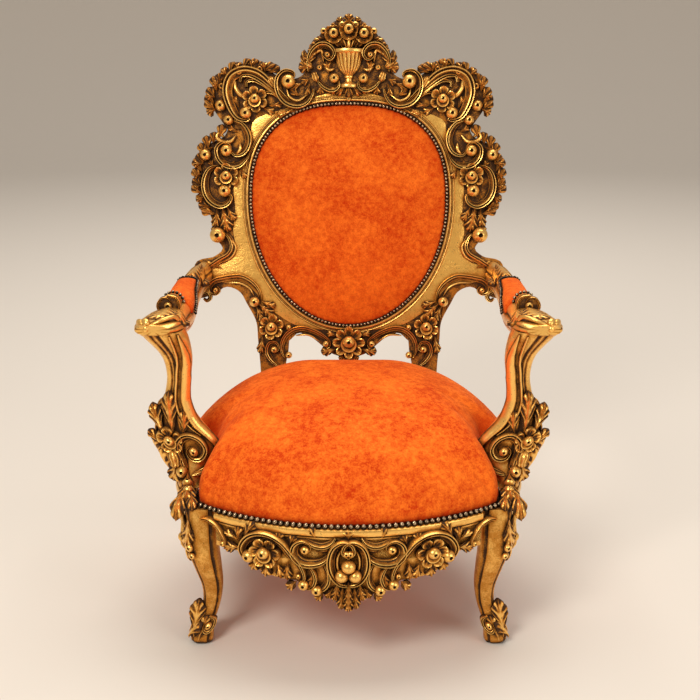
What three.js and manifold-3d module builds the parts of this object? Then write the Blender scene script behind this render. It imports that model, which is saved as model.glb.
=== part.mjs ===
// A carved and gilded baroque throne armchair with velvet seat, back and arm pads.
// Millimetres, +Z up, the sitter faces -Y. While modelling, Y = 0 is the line through the
// front legs; the finished group is moved so that its origin is under its middle, on the floor.
import * as THREE from "three";
import { mergeVertices } from "three/addons/utils/BufferGeometryUtils.js";
import Module from "manifold-3d";

const wasm = await Module();
wasm.setup();

// ---- Driving dimensions -------------------------------------------------------------------
const GAP = 0.6; // clearance left between neighbouring pieces
const SCROLL_STEP = 42; // length of one facet along a carved scroll
const SINK = 5; // how deep a carved motif is rooted in its ground
const EASING = 1.2; // how far a carving's skin may move to save facets
const SHORTEST_EDGE = 0.35; // slivers under this are merged away

const RAIL_TOP = 315; // top of the seat rails
const RAIL_DEEP = 78; // height of the seat rails
const RAIL_THICK = 34;
const SEAT_CROWN = 512; // highest point of the seat's velvet dome

const FRONT_HALF = 314; // half width of the seat across its front corners
const BOW = 115; // how far the front rail bows forward of its corners
const SIDE_HALF = 386; // half width where the seat is widest
const SIDE_WIDEST_Y = 205;
const REAR_HALF = 232; // half width of the seat at the back
const REAR_Y = 552;

const RAKE = THREE.MathUtils.degToRad(9); // lean of the back
const BACK_FOOT_Y = 509; // where the back's front plane would meet the floor
const BACK_THICK = 26;
const OVAL_HALF = 238; // half width of the oval opening's line of nails
const OVAL_WIDEST = 840; // height of its widest level, up the back
const OVAL_UP = 232; // from there to its top
const OVAL_DOWN = 305; // and to its bottom
const NECK = 1010; // level of the joint between crest rail and stiles
const STILE_JOINT = 142; // half width of the back's bottom rail

const BOW_RADIUS = (FRONT_HALF ** 2 + BOW ** 2) / (2 * BOW);
const BOW_CENTRE_Y = BOW_RADIUS - BOW;

// ---- Finishes -----------------------------------------------------------------------------
const gilt = new THREE.MeshStandardMaterial({ color: 0xc8902f, roughness: 0.38, metalness: 0.85 });
const velvet = new THREE.MeshStandardMaterial({ color: 0xe8560f, roughness: 0.85, metalness: 0 });
const bronze = new THREE.MeshStandardMaterial({ color: 0x3a2a1e, roughness: 0.35, metalness: 0.9 });

// ---- Solids -------------------------------------------------------------------------------
// Any closed three.js geometry as a solid, its shared vertices merged and its faces turned out.
function solidOf(geometry) {
  const bare = new THREE.BufferGeometry();
  bare.setAttribute("position", geometry.getAttribute("position"));
  if (geometry.index) bare.setIndex(geometry.index);
  const merged = mergeVertices(bare, 1e-3);
  const index = merged.index.array;
  const triangles = [];
  for (let i = 0; i < index.length; i += 3) {
    const [a, b, c] = index.slice(i, i + 3);
    if (a !== b && b !== c && c !== a) triangles.push(a, b, c);
  }
  const vertProperties = merged.attributes.position.array;
  const build = (list) =>
    new wasm.Manifold(new wasm.Mesh({ numProp: 3, vertProperties, triVerts: new Uint32Array(list) }));
  const made = build(triangles);
  return made.volume() < 0 ? build(triangles.reverse()) : made;
}

const join = (solids) => solids.reduce((all, one) => all.add(one));

// Carving joined to its ground, with its smallest facets eased away.
const joinCarving = (solids) => join(solids).asOriginal().simplify(EASING);

const cut = (solid, ...tools) => tools.reduce((left, tool) => left.subtract(tool), solid);

// A solid grown by about the working gap, to cut its neighbours clear of it.
function withGap(solid) {
  const moves = [[0, 0, 0], [1, 0, 0], [-1, 0, 0], [0, 1, 0], [0, -1, 0], [0, 0, 1], [0, 0, -1]];
  return join(moves.map((move) => solid.translate(move.map((share) => share * GAP))));
}

// A finished solid: its slivers merged away, and chips that a cut left behind dropped.
function finished(solid) {
  const bodies = solid.asOriginal().simplify(SHORTEST_EDGE).decompose();
  return bodies.reduce((best, one) => (one.volume() > best.volume() ? one : best));
}

function geometryOf(solid) {
  const mesh = solid.getMesh();
  const positions = new Float32Array(mesh.numVert * 3);
  for (let i = 0; i < mesh.numVert; i++)
    positions.set(mesh.vertProperties.subarray(i * mesh.numProp, i * mesh.numProp + 3), i * 3);
  return new THREE.BufferGeometry()
    .setAttribute("position", new THREE.BufferAttribute(positions, 3))
    .setIndex(new THREE.BufferAttribute(mesh.triVerts, 1));
}

// The same solid on the other side of the chair's middle plane.
function mirrored(solid) {
  const geometry = geometryOf(solid);
  geometry.scale(-1, 1, 1);
  geometry.index.array.reverse();
  return solidOf(geometry);
}

const bothSides = (solids) => solids.flatMap((one) => [one, mirrored(one)]);

// A closed solid through rings of points. Each ring has the same number of points. The last
// one is closed by a flat cap, or by a cone up to `tip`.
function loft(rings, tip) {
  const count = rings[0].length;
  const middle = (ring) =>
    ring.reduce((sum, p) => sum.add(p), new THREE.Vector3()).divideScalar(count);
  const points = [...rings.flat(), middle(rings[0]), tip ?? middle(rings.at(-1))];
  const index = [];
  for (let r = 0; r + 1 < rings.length; r++)
    for (let k = 0; k < count; k++) {
      const a = r * count + k;
      const b = r * count + ((k + 1) % count);
      index.push(a, b, a + count, b, b + count, a + count);
    }
  const last = (rings.length - 1) * count;
  for (let k = 0; k < count; k++) {
    const next = (k + 1) % count;
    index.push(points.length - 2, next, k);
    index.push(points.length - 1, last + k, last + next);
  }
  return new THREE.BufferGeometry().setFromPoints(points).setIndex(index);
}

// A closed ring-shaped solid: the section travels round a closed line and meets itself.
function hoop(sections) {
  const count = sections[0].length;
  const index = [];
  for (let r = 0; r < sections.length; r++)
    for (let k = 0; k < count; k++) {
      const s = ((r + 1) % sections.length) * count;
      const a = r * count + k;
      const b = r * count + ((k + 1) % count);
      const next = s + ((k + 1) % count);
      index.push(a, b, s + k, b, next, s + k);
    }
  return new THREE.BufferGeometry().setFromPoints(sections.flat()).setIndex(index);
}

const v3 = (x, y, z) => new THREE.Vector3(x, y, z);

// The direction to the right of a closed line at its point k.
function sideways(line, k) {
  const before = line[(k + line.length - 1) % line.length];
  const after = line[(k + 1) % line.length];
  return new THREE.Vector2(after.y - before.y, before.x - after.x).normalize();
}

function box(low, high) {
  const geometry = new THREE.BoxGeometry(high[0] - low[0], high[1] - low[1], high[2] - low[2]);
  geometry.translate((low[0] + high[0]) / 2, (low[1] + high[1]) / 2, (low[2] + high[2]) / 2);
  return geometry;
}

// ---- Grounds that carving lies on ---------------------------------------------------------
// Each takes (u, v, w), across, up and out of the ground, to a point of the chair.
const onBack = (u, v, w) =>
  v3(
    u,
    BACK_FOOT_Y + v * Math.sin(RAKE) - w * Math.cos(RAKE),
    v * Math.cos(RAKE) + w * Math.sin(RAKE),
  );

const onBow = (u, v, w) =>
  v3(
    (BOW_RADIUS + w) * Math.sin(u / BOW_RADIUS),
    BOW_CENTRE_Y - (BOW_RADIUS + w) * Math.cos(u / BOW_RADIUS),
    v,
  );

function placed(geometry, place) {
  const position = geometry.getAttribute("position");
  for (let i = 0; i < position.count; i++) {
    const p = place(position.getX(i), position.getY(i), position.getZ(i));
    position.setXYZ(i, p.x, p.y, p.z);
  }
  return solidOf(geometry);
}

// ---- Carved motifs, in (u, v, w) ----------------------------------------------------------
// A C or S scroll: a band that swells in the middle and thins to its ends.
function scroll({ path, wide, tall }) {
  const curve = new THREE.CatmullRomCurve3(
    path.map(([u, v]) => v3(u, v, 0)),
    false,
    "centripetal",
  );
  const steps = Math.ceil(curve.getLength() / SCROLL_STEP) + 1;
  const rings = [];
  for (let i = 0; i <= steps; i++) {
    const t = i / steps;
    const swell = 0.45 + 0.55 * Math.sin(Math.PI * t);
    const p = curve.getPointAt(t);
    const along = curve.getTangentAt(t);
    const side = v3(-along.y, along.x, 0).multiplyScalar((wide / 2) * swell);
    const at = (share, w) => p.clone().addScaledVector(side, share).setZ(w);
    rings.push([at(-1, -SINK), at(1, -SINK), at(0, tall * swell)]);
  }
  return loft(rings);
}

// A pointed leaf with a raised midrib, growing from `at` towards `turn` degrees.
function leaf({ at, turn, long, wide, tall }) {
  const shape = [
    [0, 0.45],
    [0.5, 1],
  ];
  const a = THREE.MathUtils.degToRad(turn);
  const onRib = (share) => [at[0] + Math.cos(a) * long * share, at[1] + Math.sin(a) * long * share];
  const rings = shape.map(([share, swell]) => {
    const [u, v] = onRib(share);
    const half = (wide / 2) * swell;
    const edge = (side, w) => v3(u - Math.sin(a) * side, v + Math.cos(a) * side, w);
    const lift = tall * (0.55 + 0.45 * swell);
    return [edge(-half, -SINK), edge(half, -SINK), edge(0, lift)];
  });
  return loft(rings, v3(...onRib(1), tall * 0.3));
}

// A fruit or the eye of a volute.
function ball({ at, radius, lift = 0.55, sides = 5 }) {
  const geometry = new THREE.SphereGeometry(radius, sides, 3);
  geometry.rotateX(Math.PI / 2);
  geometry.translate(at[0], at[1], radius * lift);
  return geometry;
}

// An open flower: a cupped star of petals round a ball.
function flower({ at, radius, tall, petals = 5 }) {
  const levels = [
    [1, -SINK],
    [0.9, tall * 0.5],
  ];
  const rings = levels.map(([share, w]) =>
    Array.from({ length: petals * 2 }, (_, k) => {
      const a = (Math.PI * k) / petals + Math.PI / 2;
      const r = radius * share * (k % 2 ? 0.62 : 1);
      return v3(at[0] + Math.cos(a) * r, at[1] + Math.sin(a) * r, w);
    }),
  );
  return [loft(rings), ball({ at, radius: radius * 0.42, lift: 1 })];
}

// ---- The oval of the back -----------------------------------------------------------------
const OVAL_SQUARENESS = 2.5; // over 2, the upper half is fuller than an ellipse
const OVAL_SIDES = 28;
const BACK_NAIL_HALF = 4.2;
const NAIL_REBATE = BACK_NAIL_HALF + 0.8;

// A point of the oval, grown outwards by `grow`, at angle a.
function ovalPoint(a, grow) {
  const c = Math.cos(a);
  const s = Math.sin(a);
  const up = s > 0;
  const power = up ? 2 / OVAL_SQUARENESS : 1;
  const reach = (up ? OVAL_UP : OVAL_DOWN) + grow;
  return new THREE.Vector2(
    (OVAL_HALF + grow) * Math.sign(c) * Math.abs(c) ** power,
    OVAL_WIDEST + reach * Math.sign(s) * Math.abs(s) ** power,
  );
}

const ovalLine = (grow, count) =>
  Array.from({ length: count }, (_, k) => ovalPoint((2 * Math.PI * k) / count, grow));

// A dome over the oval: flat at `back`, risen by `rise` in the middle at `front`.
function ovalPad({ grow, back, front, rise }) {
  const levels = [
    [1, 0],
    [0.97, 0.12],
    [0.86, 0.6],
    [0.6, 0.9],
  ];
  const ring = (share, w) =>
    ovalLine(grow, OVAL_SIDES).map((p) => v3(p.x * share, OVAL_WIDEST + (p.y - OVAL_WIDEST) * share, w));
  const rings = levels.map(([share, lift]) => ring(share, front + rise * lift));
  return loft([ring(1, back), ...rings], v3(0, OVAL_WIDEST, front + rise));
}

// ---- Back frame ---------------------------------------------------------------------------
// The ground behind the carving: the left half of its outline, from the top of the crest down.
const CREST_EDGE = [
  [0, 1266], [-40, 1250], [-72, 1208], [-104, 1172], [-112, 1142], [-132, 1130], [-168, 1136],
  [-204, 1158], [-250, 1158], [-296, 1136], [-326, 1104], [-328, 1066], [-306, 1030], [-292, 1008],
];
const SIDE_EDGE = [
  [-300, 994], [-342, 972], [-368, 930], [-366, 884], [-350, 836], [-332, 790], [-324, 748],
  [-308, 724], [-330, 704], [-374, 690],
];
const UNDER_EDGE = [[-374, 604], [-332, 612], [-300, 630], [-268, 618], [-250, 588], [-228, 544]];
const STILE_EDGE = [[-224, 500], [-219, 440], [-213, 330]];
const STILE_INNER = [[-166, 330], [-156, 440], [-150, 470]];
const ARCH = [[-150, 470], [-148, 496], [-124, 516], [-96, 508], [-70, 488], [-44, 466]];
const PENDANT_BOTTOM = [0, 452];

function backGround() {
  const outside = [...CREST_EDGE, ...SIDE_EDGE, ...UNDER_EDGE, ...STILE_EDGE];
  const half = [...outside, ...STILE_INNER, ...ARCH.slice(1)];
  const outline = [...half, PENDANT_BOTTOM, ...half.slice(1).reverse().map(([u, v]) => [-u, v])];
  const shape = new THREE.Shape(outline.map(([u, v]) => new THREE.Vector2(u, v)));
  const plate = new THREE.ExtrudeGeometry(shape, { depth: BACK_THICK, bevelEnabled: false });
  plate.translate(0, 0, -BACK_THICK);
  return placed(plate, onBack);
}

// An oval block, standing from `low` to `high` out of the back's front plane.
function ovalBlock(grow, low, high) {
  const shape = new THREE.Shape(ovalLine(grow, OVAL_SIDES));
  const block = new THREE.ExtrudeGeometry(shape, { depth: high - low, bevelEnabled: false });
  block.translate(0, 0, low);
  return placed(block, onBack);
}

// The opening for the upholstery, with a flat rebate in front for its row of nails.
const ovalHole = () => join([ovalBlock(-3, -80, 1), ovalBlock(NAIL_REBATE, 0, 80)]);

// A small opening through the crest, beside the urn.
function crestHole() {
  const hole = new THREE.CylinderGeometry(5, 5, 90, 8);
  hole.rotateX(Math.PI / 2);
  hole.scale(1, 1.9, 1);
  hole.translate(-71, 1172, 0);
  return placed(hole, onBack);
}

const CREST_SCROLLS = [
  {
    path: [
      [-243, 1036], [-268, 1042], [-286, 1072], [-289, 1108],
      [-270, 1140], [-236, 1144], [-196, 1122], [-146, 1078],
    ],
    wide: 17, tall: 19,
  },
  { path: [[-262, 1116], [-252, 1132], [-224, 1130], [-186, 1104], [-152, 1080]], wide: 16, tall: 13 },
  { path: [[-214, 1092], [-192, 1097], [-158, 1076]], wide: 15, tall: 12 },
  {
    path: [[-140, 1130], [-156, 1143], [-169, 1122], [-162, 1092], [-134, 1073], [-104, 1078], [-90, 1100]],
    wide: 15, tall: 19,
  },
  {
    path: [[-52, 1180], [-40, 1188], [-52, 1204], [-76, 1201], [-91, 1182], [-94, 1146]],
    wide: 14, tall: 20,
  },
  { path: [[-28, 1122], [-44, 1106], [-76, 1126]], wide: 13, tall: 15 },
];
const CREST_BALLS = [
  { at: [-250, 1050], radius: 15 }, { at: [-143, 1122], radius: 17 }, { at: [-308, 1067], radius: 14 },
  { at: [-289, 1032], radius: 13 }, { at: [-51, 1188], radius: 9 }, { at: [-35, 1131], radius: 12 },
  { at: [-33, 1234], radius: 18 },
];
const CREST_FLOWERS = [{ at: [-224, 1081], radius: 30, tall: 18 }];
// Leaves along an edge: they stand on the path and point to its left, out of the frame.
const CREST_LEAF_ROWS = [
  {
    path: [[-320, 1052], [-320, 1096], [-290, 1134], [-240, 1150], [-192, 1144]],
    count: 8, long: 22, wide: 30, tall: 12,
  },
  {
    path: [[-102, 1150], [-92, 1186], [-64, 1222], [-34, 1246], [-13, 1251]],
    count: 6, long: 20, wide: 30, tall: 12,
  },
];
const CREST_LEAVES = [
  { at: [-92, 1164], turn: 250, long: 44, wide: 28, tall: 20 },
  { at: [-80, 1118], turn: 255, long: 40, wide: 34, tall: 16 },
  { at: [-12, 1108], turn: 225, long: 34, wide: 24, tall: 14 },
  { at: [-44, 1212], turn: 150, long: 40, wide: 22, tall: 14 },
];

const SIDE_SCROLLS = [
  { path: [[-280, 1030], [-254, 1014], [-242, 984], [-254, 958], [-280, 954]], wide: 14, tall: 17 },
  {
    path: [[-286, 972], [-306, 978], [-316, 952], [-298, 928], [-266, 924], [-240, 952]],
    wide: 14, tall: 17,
  },
  {
    path: [[-290, 852], [-302, 832], [-334, 842], [-349, 872], [-342, 908], [-310, 924]],
    wide: 15, tall: 18,
  },
  { path: [[-306, 752], [-286, 742], [-286, 718], [-312, 698], [-350, 680]], wide: 11, tall: 9 },
  {
    path: [[-326, 626], [-318, 640], [-286, 650], [-246, 646], [-222, 620], [-218, 596]],
    wide: 11, tall: 9,
  },
  { path: [[-178, 476], [-190, 488], [-198, 470], [-186, 446], [-168, 430]], wide: 12, tall: 12 },
];
const SIDE_BALLS = [
  { at: [-296, 960], radius: 15 }, { at: [-346, 950], radius: 15 }, { at: [-301, 864], radius: 15 },
  { at: [-319, 757], radius: 20 }, { at: [-231, 594], radius: 13 },
];
const SIDE_FLOWERS = [
  { at: [-297, 898], radius: 30, tall: 18 },
  { at: [-191, 531], radius: 31, tall: 18 },
];
const SIDE_LEAF_ROWS = [
  {
    path: [[-332, 806], [-352, 856], [-358, 912], [-346, 962], [-316, 984]],
    count: 6, long: 22, wide: 34, tall: 12,
  },
];
const SIDE_LEAVES = [
  { at: [-312, 822], turn: 288, long: 60, wide: 34, tall: 16 },
  { at: [-338, 812], turn: 282, long: 44, wide: 24, tall: 14 },
  { at: [-230, 584], turn: 318, long: 46, wide: 44, tall: 14 },
  { at: [-366, 664], turn: 8, long: 40, wide: 40, tall: 12 },
];

const ARCH_SCROLL = {
  path: [[-60, 486], [-50, 494], [-66, 510], [-104, 527], [-138, 521], [-161, 494], [-158, 466]],
  wide: 11, tall: 12,
};

function leafRow({ path, count, ...form }) {
  const line = new THREE.CatmullRomCurve3(path.map(([u, v]) => v3(u, v, 0)));
  return Array.from({ length: count }, (_, k) => {
    const t = k / (count - 1);
    const { x, y } = line.getPointAt(t);
    const along = line.getTangentAt(t);
    return leaf({ at: [x, y], turn: THREE.MathUtils.radToDeg(Math.atan2(along.x, -along.y)), ...form });
  });
}

// The fluted urn in the middle of the crest: half of it stands out of the ground.
function urn() {
  const bowl = 1142; // where the bowl starts
  const rim = 1196;
  const profile = [
    [0, 1118], [24, 1118], [9, 1130], [9, bowl], [22, 1158], [34, rim], [39, rim], [39, rim + 6],
    [0, rim + 6],
  ];
  const geometry = new THREE.LatheGeometry(profile.map(([r, v]) => new THREE.Vector2(r, v)), 14);
  const position = geometry.getAttribute("position");
  for (let i = 0; i < position.count; i++) {
    const v = position.getY(i);
    const a = Math.atan2(position.getZ(i), position.getX(i));
    const flute = v > bowl + 2 && v < rim - 2 ? 0.92 + 0.08 * Math.cos(7 * a) : 1;
    position.setX(i, position.getX(i) * flute);
    position.setZ(i, position.getZ(i) * flute * 0.72);
  }
  return placed(geometry, onBack);
}

function crestCarving() {
  const half = [
    ...CREST_SCROLLS.map(scroll),
    ...CREST_BALLS.map(ball),
    ...CREST_FLOWERS.flatMap(flower),
    ...CREST_LEAF_ROWS.flatMap(leafRow),
    ...CREST_LEAVES.map(leaf),
  ].map((geometry) => placed(geometry, onBack));
  const middle = [
    ball({ at: [0, 1240], radius: 21, sides: 8 }),
    leaf({ at: [0, 1248], turn: 90, long: 34, wide: 28, tall: 14 }),
    leaf({ at: [0, 1122], turn: 270, long: 40, wide: 26, tall: 14 }),
    leaf({ at: [0, 1196], turn: 90, long: 29, wide: 13, tall: 12 }),
  ].map((geometry) => placed(geometry, onBack));
  return [...bothSides(half), ...middle, urn()];
}

function sideCarving() {
  return [
    ...SIDE_SCROLLS.map(scroll),
    ...SIDE_BALLS.map(ball),
    ...SIDE_FLOWERS.flatMap(flower),
    ...SIDE_LEAF_ROWS.flatMap(leafRow),
    ...SIDE_LEAVES.map(leaf),
  ].map((geometry) => placed(geometry, onBack));
}

function bottomCarving() {
  const rosette = flower({ at: [0, 493], radius: 40, tall: 20, petals: 6 });
  return [
    ...bothSides([placed(scroll(ARCH_SCROLL), onBack)]),
    ...rosette.map((geometry) => placed(geometry, onBack)),
  ];
}

// ---- Legs ---------------------------------------------------------------------------------
// A section with cut corners, level, round a centre.
function levelSection([z, x, y, halfWide, halfDeep], grow = 0) {
  const a = halfWide + grow;
  const b = halfDeep + grow;
  const c = 0.55;
  return [
    [a, b * c], [a * c, b], [-a * c, b], [-a, b * c], [-a, -b * c], [-a * c, -b], [a * c, -b], [a, -b * c],
  ].map(([dx, dy]) => v3(x + dx, y + dy, z));
}

// Each row: height, x, y, half width, half depth. These are the left-hand pieces.
const FRONT_LEG = [
  [0, -308, 8, 18, 20], [12, -309, 6, 22, 24], [36, -305, 8, 22, 24], [62, -295, 12, 20, 21],
  [95, -286, 11, 20, 20], [132, -284, 6, 22, 23], [172, -290, 0, 27, 27], [208, -297, -1, 31, 32],
  [238, -300, 6, 32, 36], [RAIL_TOP - 7, -302, 16, 34, 36],
];
const REAR_LEG = [
  [0, -228, 650, 20, 20], [10, -228, 648, 23, 23], [90, -219, 618, 21, 21], [190, -202, 586, 23, 22],
  [270, -192, 573, 24, 18], [360, -190, 580, 24, 14],
];
const ARM_SUPPORT = [
  [RAIL_TOP - 6 + GAP, -338, 128, 26, 46], [336, -338, 134, 32, 42], [366, -336, 140, 56, 36],
  [402, -343, 138, 64, 32], [432, -352, 136, 52, 28], [462, -358, 134, 36, 25], [500, -360, 132, 27, 24],
  [545, -354, 130, 26, 24], [580, -354, 128, 30, 25], [612, -363, 126, 38, 27], [640, -376, 122, 48, 30],
];
const uprightOf = (rows, grow = 0) => solidOf(loft(rows.map((row) => levelSection(row, grow))));

// The row of an upright at height z, between the two rows next to it.
function rowAt(rows, z) {
  const level = Math.min(Math.max(z, rows[0][0]), rows.at(-1)[0]);
  const above = Math.max(1, rows.findIndex((row) => row[0] >= level));
  const [low, high] = [rows[above - 1], rows[above]];
  const t = (level - low[0]) / (high[0] - low[0]);
  return low.map((value, k) => value + (high[k] - value) * t);
}

// Puts carving on the front of an upright: u across from its middle, v the height.
const onFrontOf = (rows) => (u, v, w) => {
  const [, x, y, , halfDeep] = rowAt(rows, v);
  return v3(x + u, y - halfDeep - w, v);
};

// The same on its outer side, u forwards from its middle.
const onSideOf = (rows) => (u, v, w) => {
  const [, x, y, halfWide] = rowAt(rows, v);
  return v3(x - halfWide - w, y - u, v);
};

function frontLeg() {
  const carving = [
    leaf({ at: [-14, 30], turn: 98, long: 66, wide: 28, tall: 9 }),
    leaf({ at: [-8, 12], turn: 112, long: 50, wide: 26, tall: 10 }),
    ball({ at: [12, 45], radius: 9 }),
  ].map((geometry) => placed(geometry, onFrontOf(FRONT_LEG)));
  const corner = [
    leaf({ at: [0, 306], turn: 268, long: 62, wide: 34, tall: 14 }),
    leaf({ at: [8, 262], turn: 264, long: 52, wide: 26, tall: 10 }),
    ball({ at: [10, 250], radius: 10 }),
  ].map((geometry) => placed(geometry, onSideOf(FRONT_LEG)));
  const bracketPath = [[-318, 276], [-296, 288], [-274, 276], [-263, 256]];
  const bracket = scroll({ path: bracketPath, wide: 14, tall: 10 });
  const leg = joinCarving([uprightOf(FRONT_LEG), ...carving, ...corner, placed(bracket, onBow)]);
  return cut(leg, topPlane());
}

// Everything above the rails' top, as a cutting block.
const topPlane = () => solidOf(box([-600, -400, RAIL_TOP - 6], [600, 900, RAIL_TOP + 60]));

// ---- Seat frame ---------------------------------------------------------------------------
const FRONT_STEPS = 6; // facets of half the front, and of one side
const SIDE_STEPS = 8;

// The seat's plan, from the middle of the front round the left side to the back.
function seatPlan(inset) {
  const points = [];
  const corner = Math.asin(FRONT_HALF / BOW_RADIUS);
  for (let i = 0; i <= FRONT_STEPS; i++) {
    const a = (corner * i) / FRONT_STEPS;
    const r = BOW_RADIUS - inset;
    points.push(new THREE.Vector2(-r * Math.sin(a), BOW_CENTRE_Y - r * Math.cos(a)));
  }
  const side = new THREE.CubicBezierCurve(
    new THREE.Vector2(-FRONT_HALF, 8),
    new THREE.Vector2(-SIDE_HALF - 28, SIDE_WIDEST_Y - 90),
    new THREE.Vector2(-SIDE_HALF - 4, SIDE_WIDEST_Y + 190),
    new THREE.Vector2(-REAR_HALF, REAR_Y),
  );
  for (let i = 1; i <= SIDE_STEPS; i++) {
    const p = side.getPoint(i / SIDE_STEPS);
    const along = side.getTangent(i / SIDE_STEPS);
    points.push(p.add(new THREE.Vector2(along.y, -along.x).multiplyScalar(inset)));
  }
  points.at(-1).y = REAR_Y - inset;
  return points;
}

const RAIL_LOW = RAIL_TOP - RAIL_DEEP;
const LEG_ZONE = 284; // half width between the front legs' blocks, along the bow

// The apron's lower edge below the front rail, as heights at distances from the middle.
const APRON_EDGE = [
  [0, 134], [14, 140], [26, 158], [48, 166], [62, 176], [88, 176], [104, 194], [134, 192],
  [172, 198], [206, 216], [222, 242], [LEG_ZONE, 244],
];
function apronEdge(distance) {
  const k = Math.max(1, APRON_EDGE.findIndex(([d]) => d >= distance));
  const [d0, z0] = APRON_EDGE[k - 1];
  const [d1, z1] = APRON_EDGE[k];
  return z0 + ((z1 - z0) * (distance - d0)) / (d1 - d0);
}

function frontRailGround() {
  const stations = [...APRON_EDGE.map(([d]) => -d).reverse(), ...APRON_EDGE.slice(1).map(([d]) => d)];
  const slab = (low, back, front, top) =>
    placed(
      loft(
        stations.map((u) => {
          const under = low(Math.abs(u));
          return [v3(u, under, back), v3(u, under, front), v3(u, top, front), v3(u, top, back)];
        }),
      ),
      onBow,
    );
  const rail = slab(() => RAIL_LOW, -RAIL_THICK, 0, RAIL_TOP - 6);
  const apron = slab(apronEdge, -20, 0, RAIL_TOP - 20);
  const bead = slab(() => RAIL_TOP - 16, -4, 6, RAIL_TOP - 6);
  return [rail, apron, bead];
}

const APRON_SCROLLS = [
  {
    path: [[-198, 238], [-213, 248], [-200, 274], [-168, 287], [-132, 272], [-98, 232], [-88, 206]],
    wide: 14, tall: 16,
  },
  {
    path: [[-84, 264], [-92, 280], [-106, 262], [-88, 240], [-58, 242], [-34, 262]],
    wide: 13, tall: 14,
  },
  { path: [[-2, 262], [3, 280], [-22, 276], [-34, 250], [-28, 216], [-4, 198]], wide: 14, tall: 18 },
  { path: [[-82, 236], [-69, 214], [-74, 190], [-92, 186]], wide: 12, tall: 13 },
  { path: [[-54, 238], [-42, 214], [-50, 188], [-66, 182]], wide: 12, tall: 13 },
];
const APRON_BALLS = [
  { at: [-82, 272], radius: 11 }, { at: [-195, 238], radius: 15 }, { at: [-12, 216], radius: 14 },
  { at: [-92, 188], radius: 12 }, { at: [-62, 176], radius: 12 },
];
const APRON_FLOWERS = [{ at: [-164, 250], radius: 30, tall: 18 }];
const APRON_LEAVES = [
  { at: [-222, 254], turn: 68, long: 42, wide: 26, tall: 12 },
  { at: [-150, 226], turn: 290, long: 38, wide: 26, tall: 12 },
  { at: [-172, 222], turn: 262, long: 30, wide: 24, tall: 12 },
  { at: [-58, 278], turn: 10, long: 34, wide: 18, tall: 10 },
  { at: [-28, 196], turn: 284, long: 48, wide: 26, tall: 14 },
];

function frontRail() {
  const half = [
    ...APRON_SCROLLS.map(scroll),
    ...APRON_BALLS.map(ball),
    ...APRON_FLOWERS.flatMap(flower),
    ...APRON_LEAVES.map(leaf),
  ].map((geometry) => placed(geometry, onBow));
  const middle = [
    ball({ at: [0, 240], radius: 14, sides: 7 }),
    leaf({ at: [0, 194], turn: 270, long: 58, wide: 36, tall: 16 }),
  ].map((geometry) => placed(geometry, onBow));
  return joinCarving([...frontRailGround(), ...bothSides(half), ...middle]);
}

function sideRail() {
  const outer = seatPlan(0).slice(FRONT_STEPS);
  const inner = seatPlan(RAIL_THICK).slice(FRONT_STEPS);
  const rings = outer.map((p, k) => {
    const q = inner[k];
    const low = RAIL_LOW + 6 * Math.sin((Math.PI * k) / (outer.length - 1));
    return [v3(p.x, p.y, low), v3(q.x, q.y, low), v3(q.x, q.y, RAIL_TOP - 6), v3(p.x, p.y, RAIL_TOP - 6)];
  });
  return solidOf(loft(rings));
}

function rearRail() {
  const half = STILE_JOINT + 60;
  return solidOf(box([-half, REAR_Y + 4, RAIL_LOW + 4], [half, REAR_Y + 30, RAIL_TOP - 6]));
}

// ---- Arms ---------------------------------------------------------------------------------
// Each row: x, y, z, half width, half height, from the back forwards. The left arm.
const ARM = [
  [-350, 640, 652, 20, 32], [-363, 540, 650, 21, 36], [-369, 446, 646, 26, 36], [-369, 360, 644, 31, 38],
  [-367, 290, 643, 33, 39], [-368, 230, 645, 34, 38], [-374, 172, 650, 38, 33], [-381, 122, 655, 47, 25],
  [-388, 88, 660, 46, 17], [-394, 66, 662, 36, 9],
];
const ARM_PAD_FROM = 2; // the rows between which the arm is padded
const ARM_PAD_TO = 5;
const ARM_TOP = 688;
function armSection([x, y, z, halfWide, halfTall], grow = 0) {
  const a = halfWide + grow;
  const b = halfTall + grow;
  return [
    [a, b * 0.3], [a * 0.7, b * 0.85], [0, b], [-a * 0.7, b * 0.85], [-a, b * 0.3], [-a * 0.75, -b * 0.8],
    [0, -b], [a * 0.75, -b * 0.8],
  ].map(([dx, dz]) => v3(x + dx, y, z + dz));
}
const armBody = (grow = 0) => solidOf(loft(ARM.map((row) => armSection(row, grow))));

const behindBackPlane = (lift) => {
  const block = box([-700, -300, -lift], [700, 1500, 400]);
  return placed(block, (u, v, w) => onBack(u, v, -w));
};

function arm(stileRoom) {
  const onTop = (u, v, w) => v3(u, v, ARM_TOP + w);
  const roll = new THREE.CylinderGeometry(24, 24, 44, 12);
  roll.translate(-379, 200, ARM_TOP - 3);
  const carving = [
    ...[[-427, 68, -20], [-404, 62, -20], [-419, 92, -2], [-392, 108, 0]].map(([x, y, w]) =>
      new THREE.SphereGeometry(10, 6, 3).translate(x, y, ARM_TOP + w)),
    placed(leaf({ at: [-366, 566], turn: 266, long: 112, wide: 42, tall: 6 }), onTop),
    placed(leaf({ at: [-384, 172], turn: 250, long: 70, wide: 40, tall: 3 }), onTop),
    placed(ball({ at: [-379, ARM_TOP - 2], radius: 9 }), (u, v, w) => v3(u, 178 - w, v)),
  ];
  const solids = carving.map((one) => (one.isBufferGeometry ? solidOf(one) : one));
  return cut(joinCarving([armBody(), solidOf(roll), ...solids]), behindBackPlane(GAP), stileRoom);
}

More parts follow.
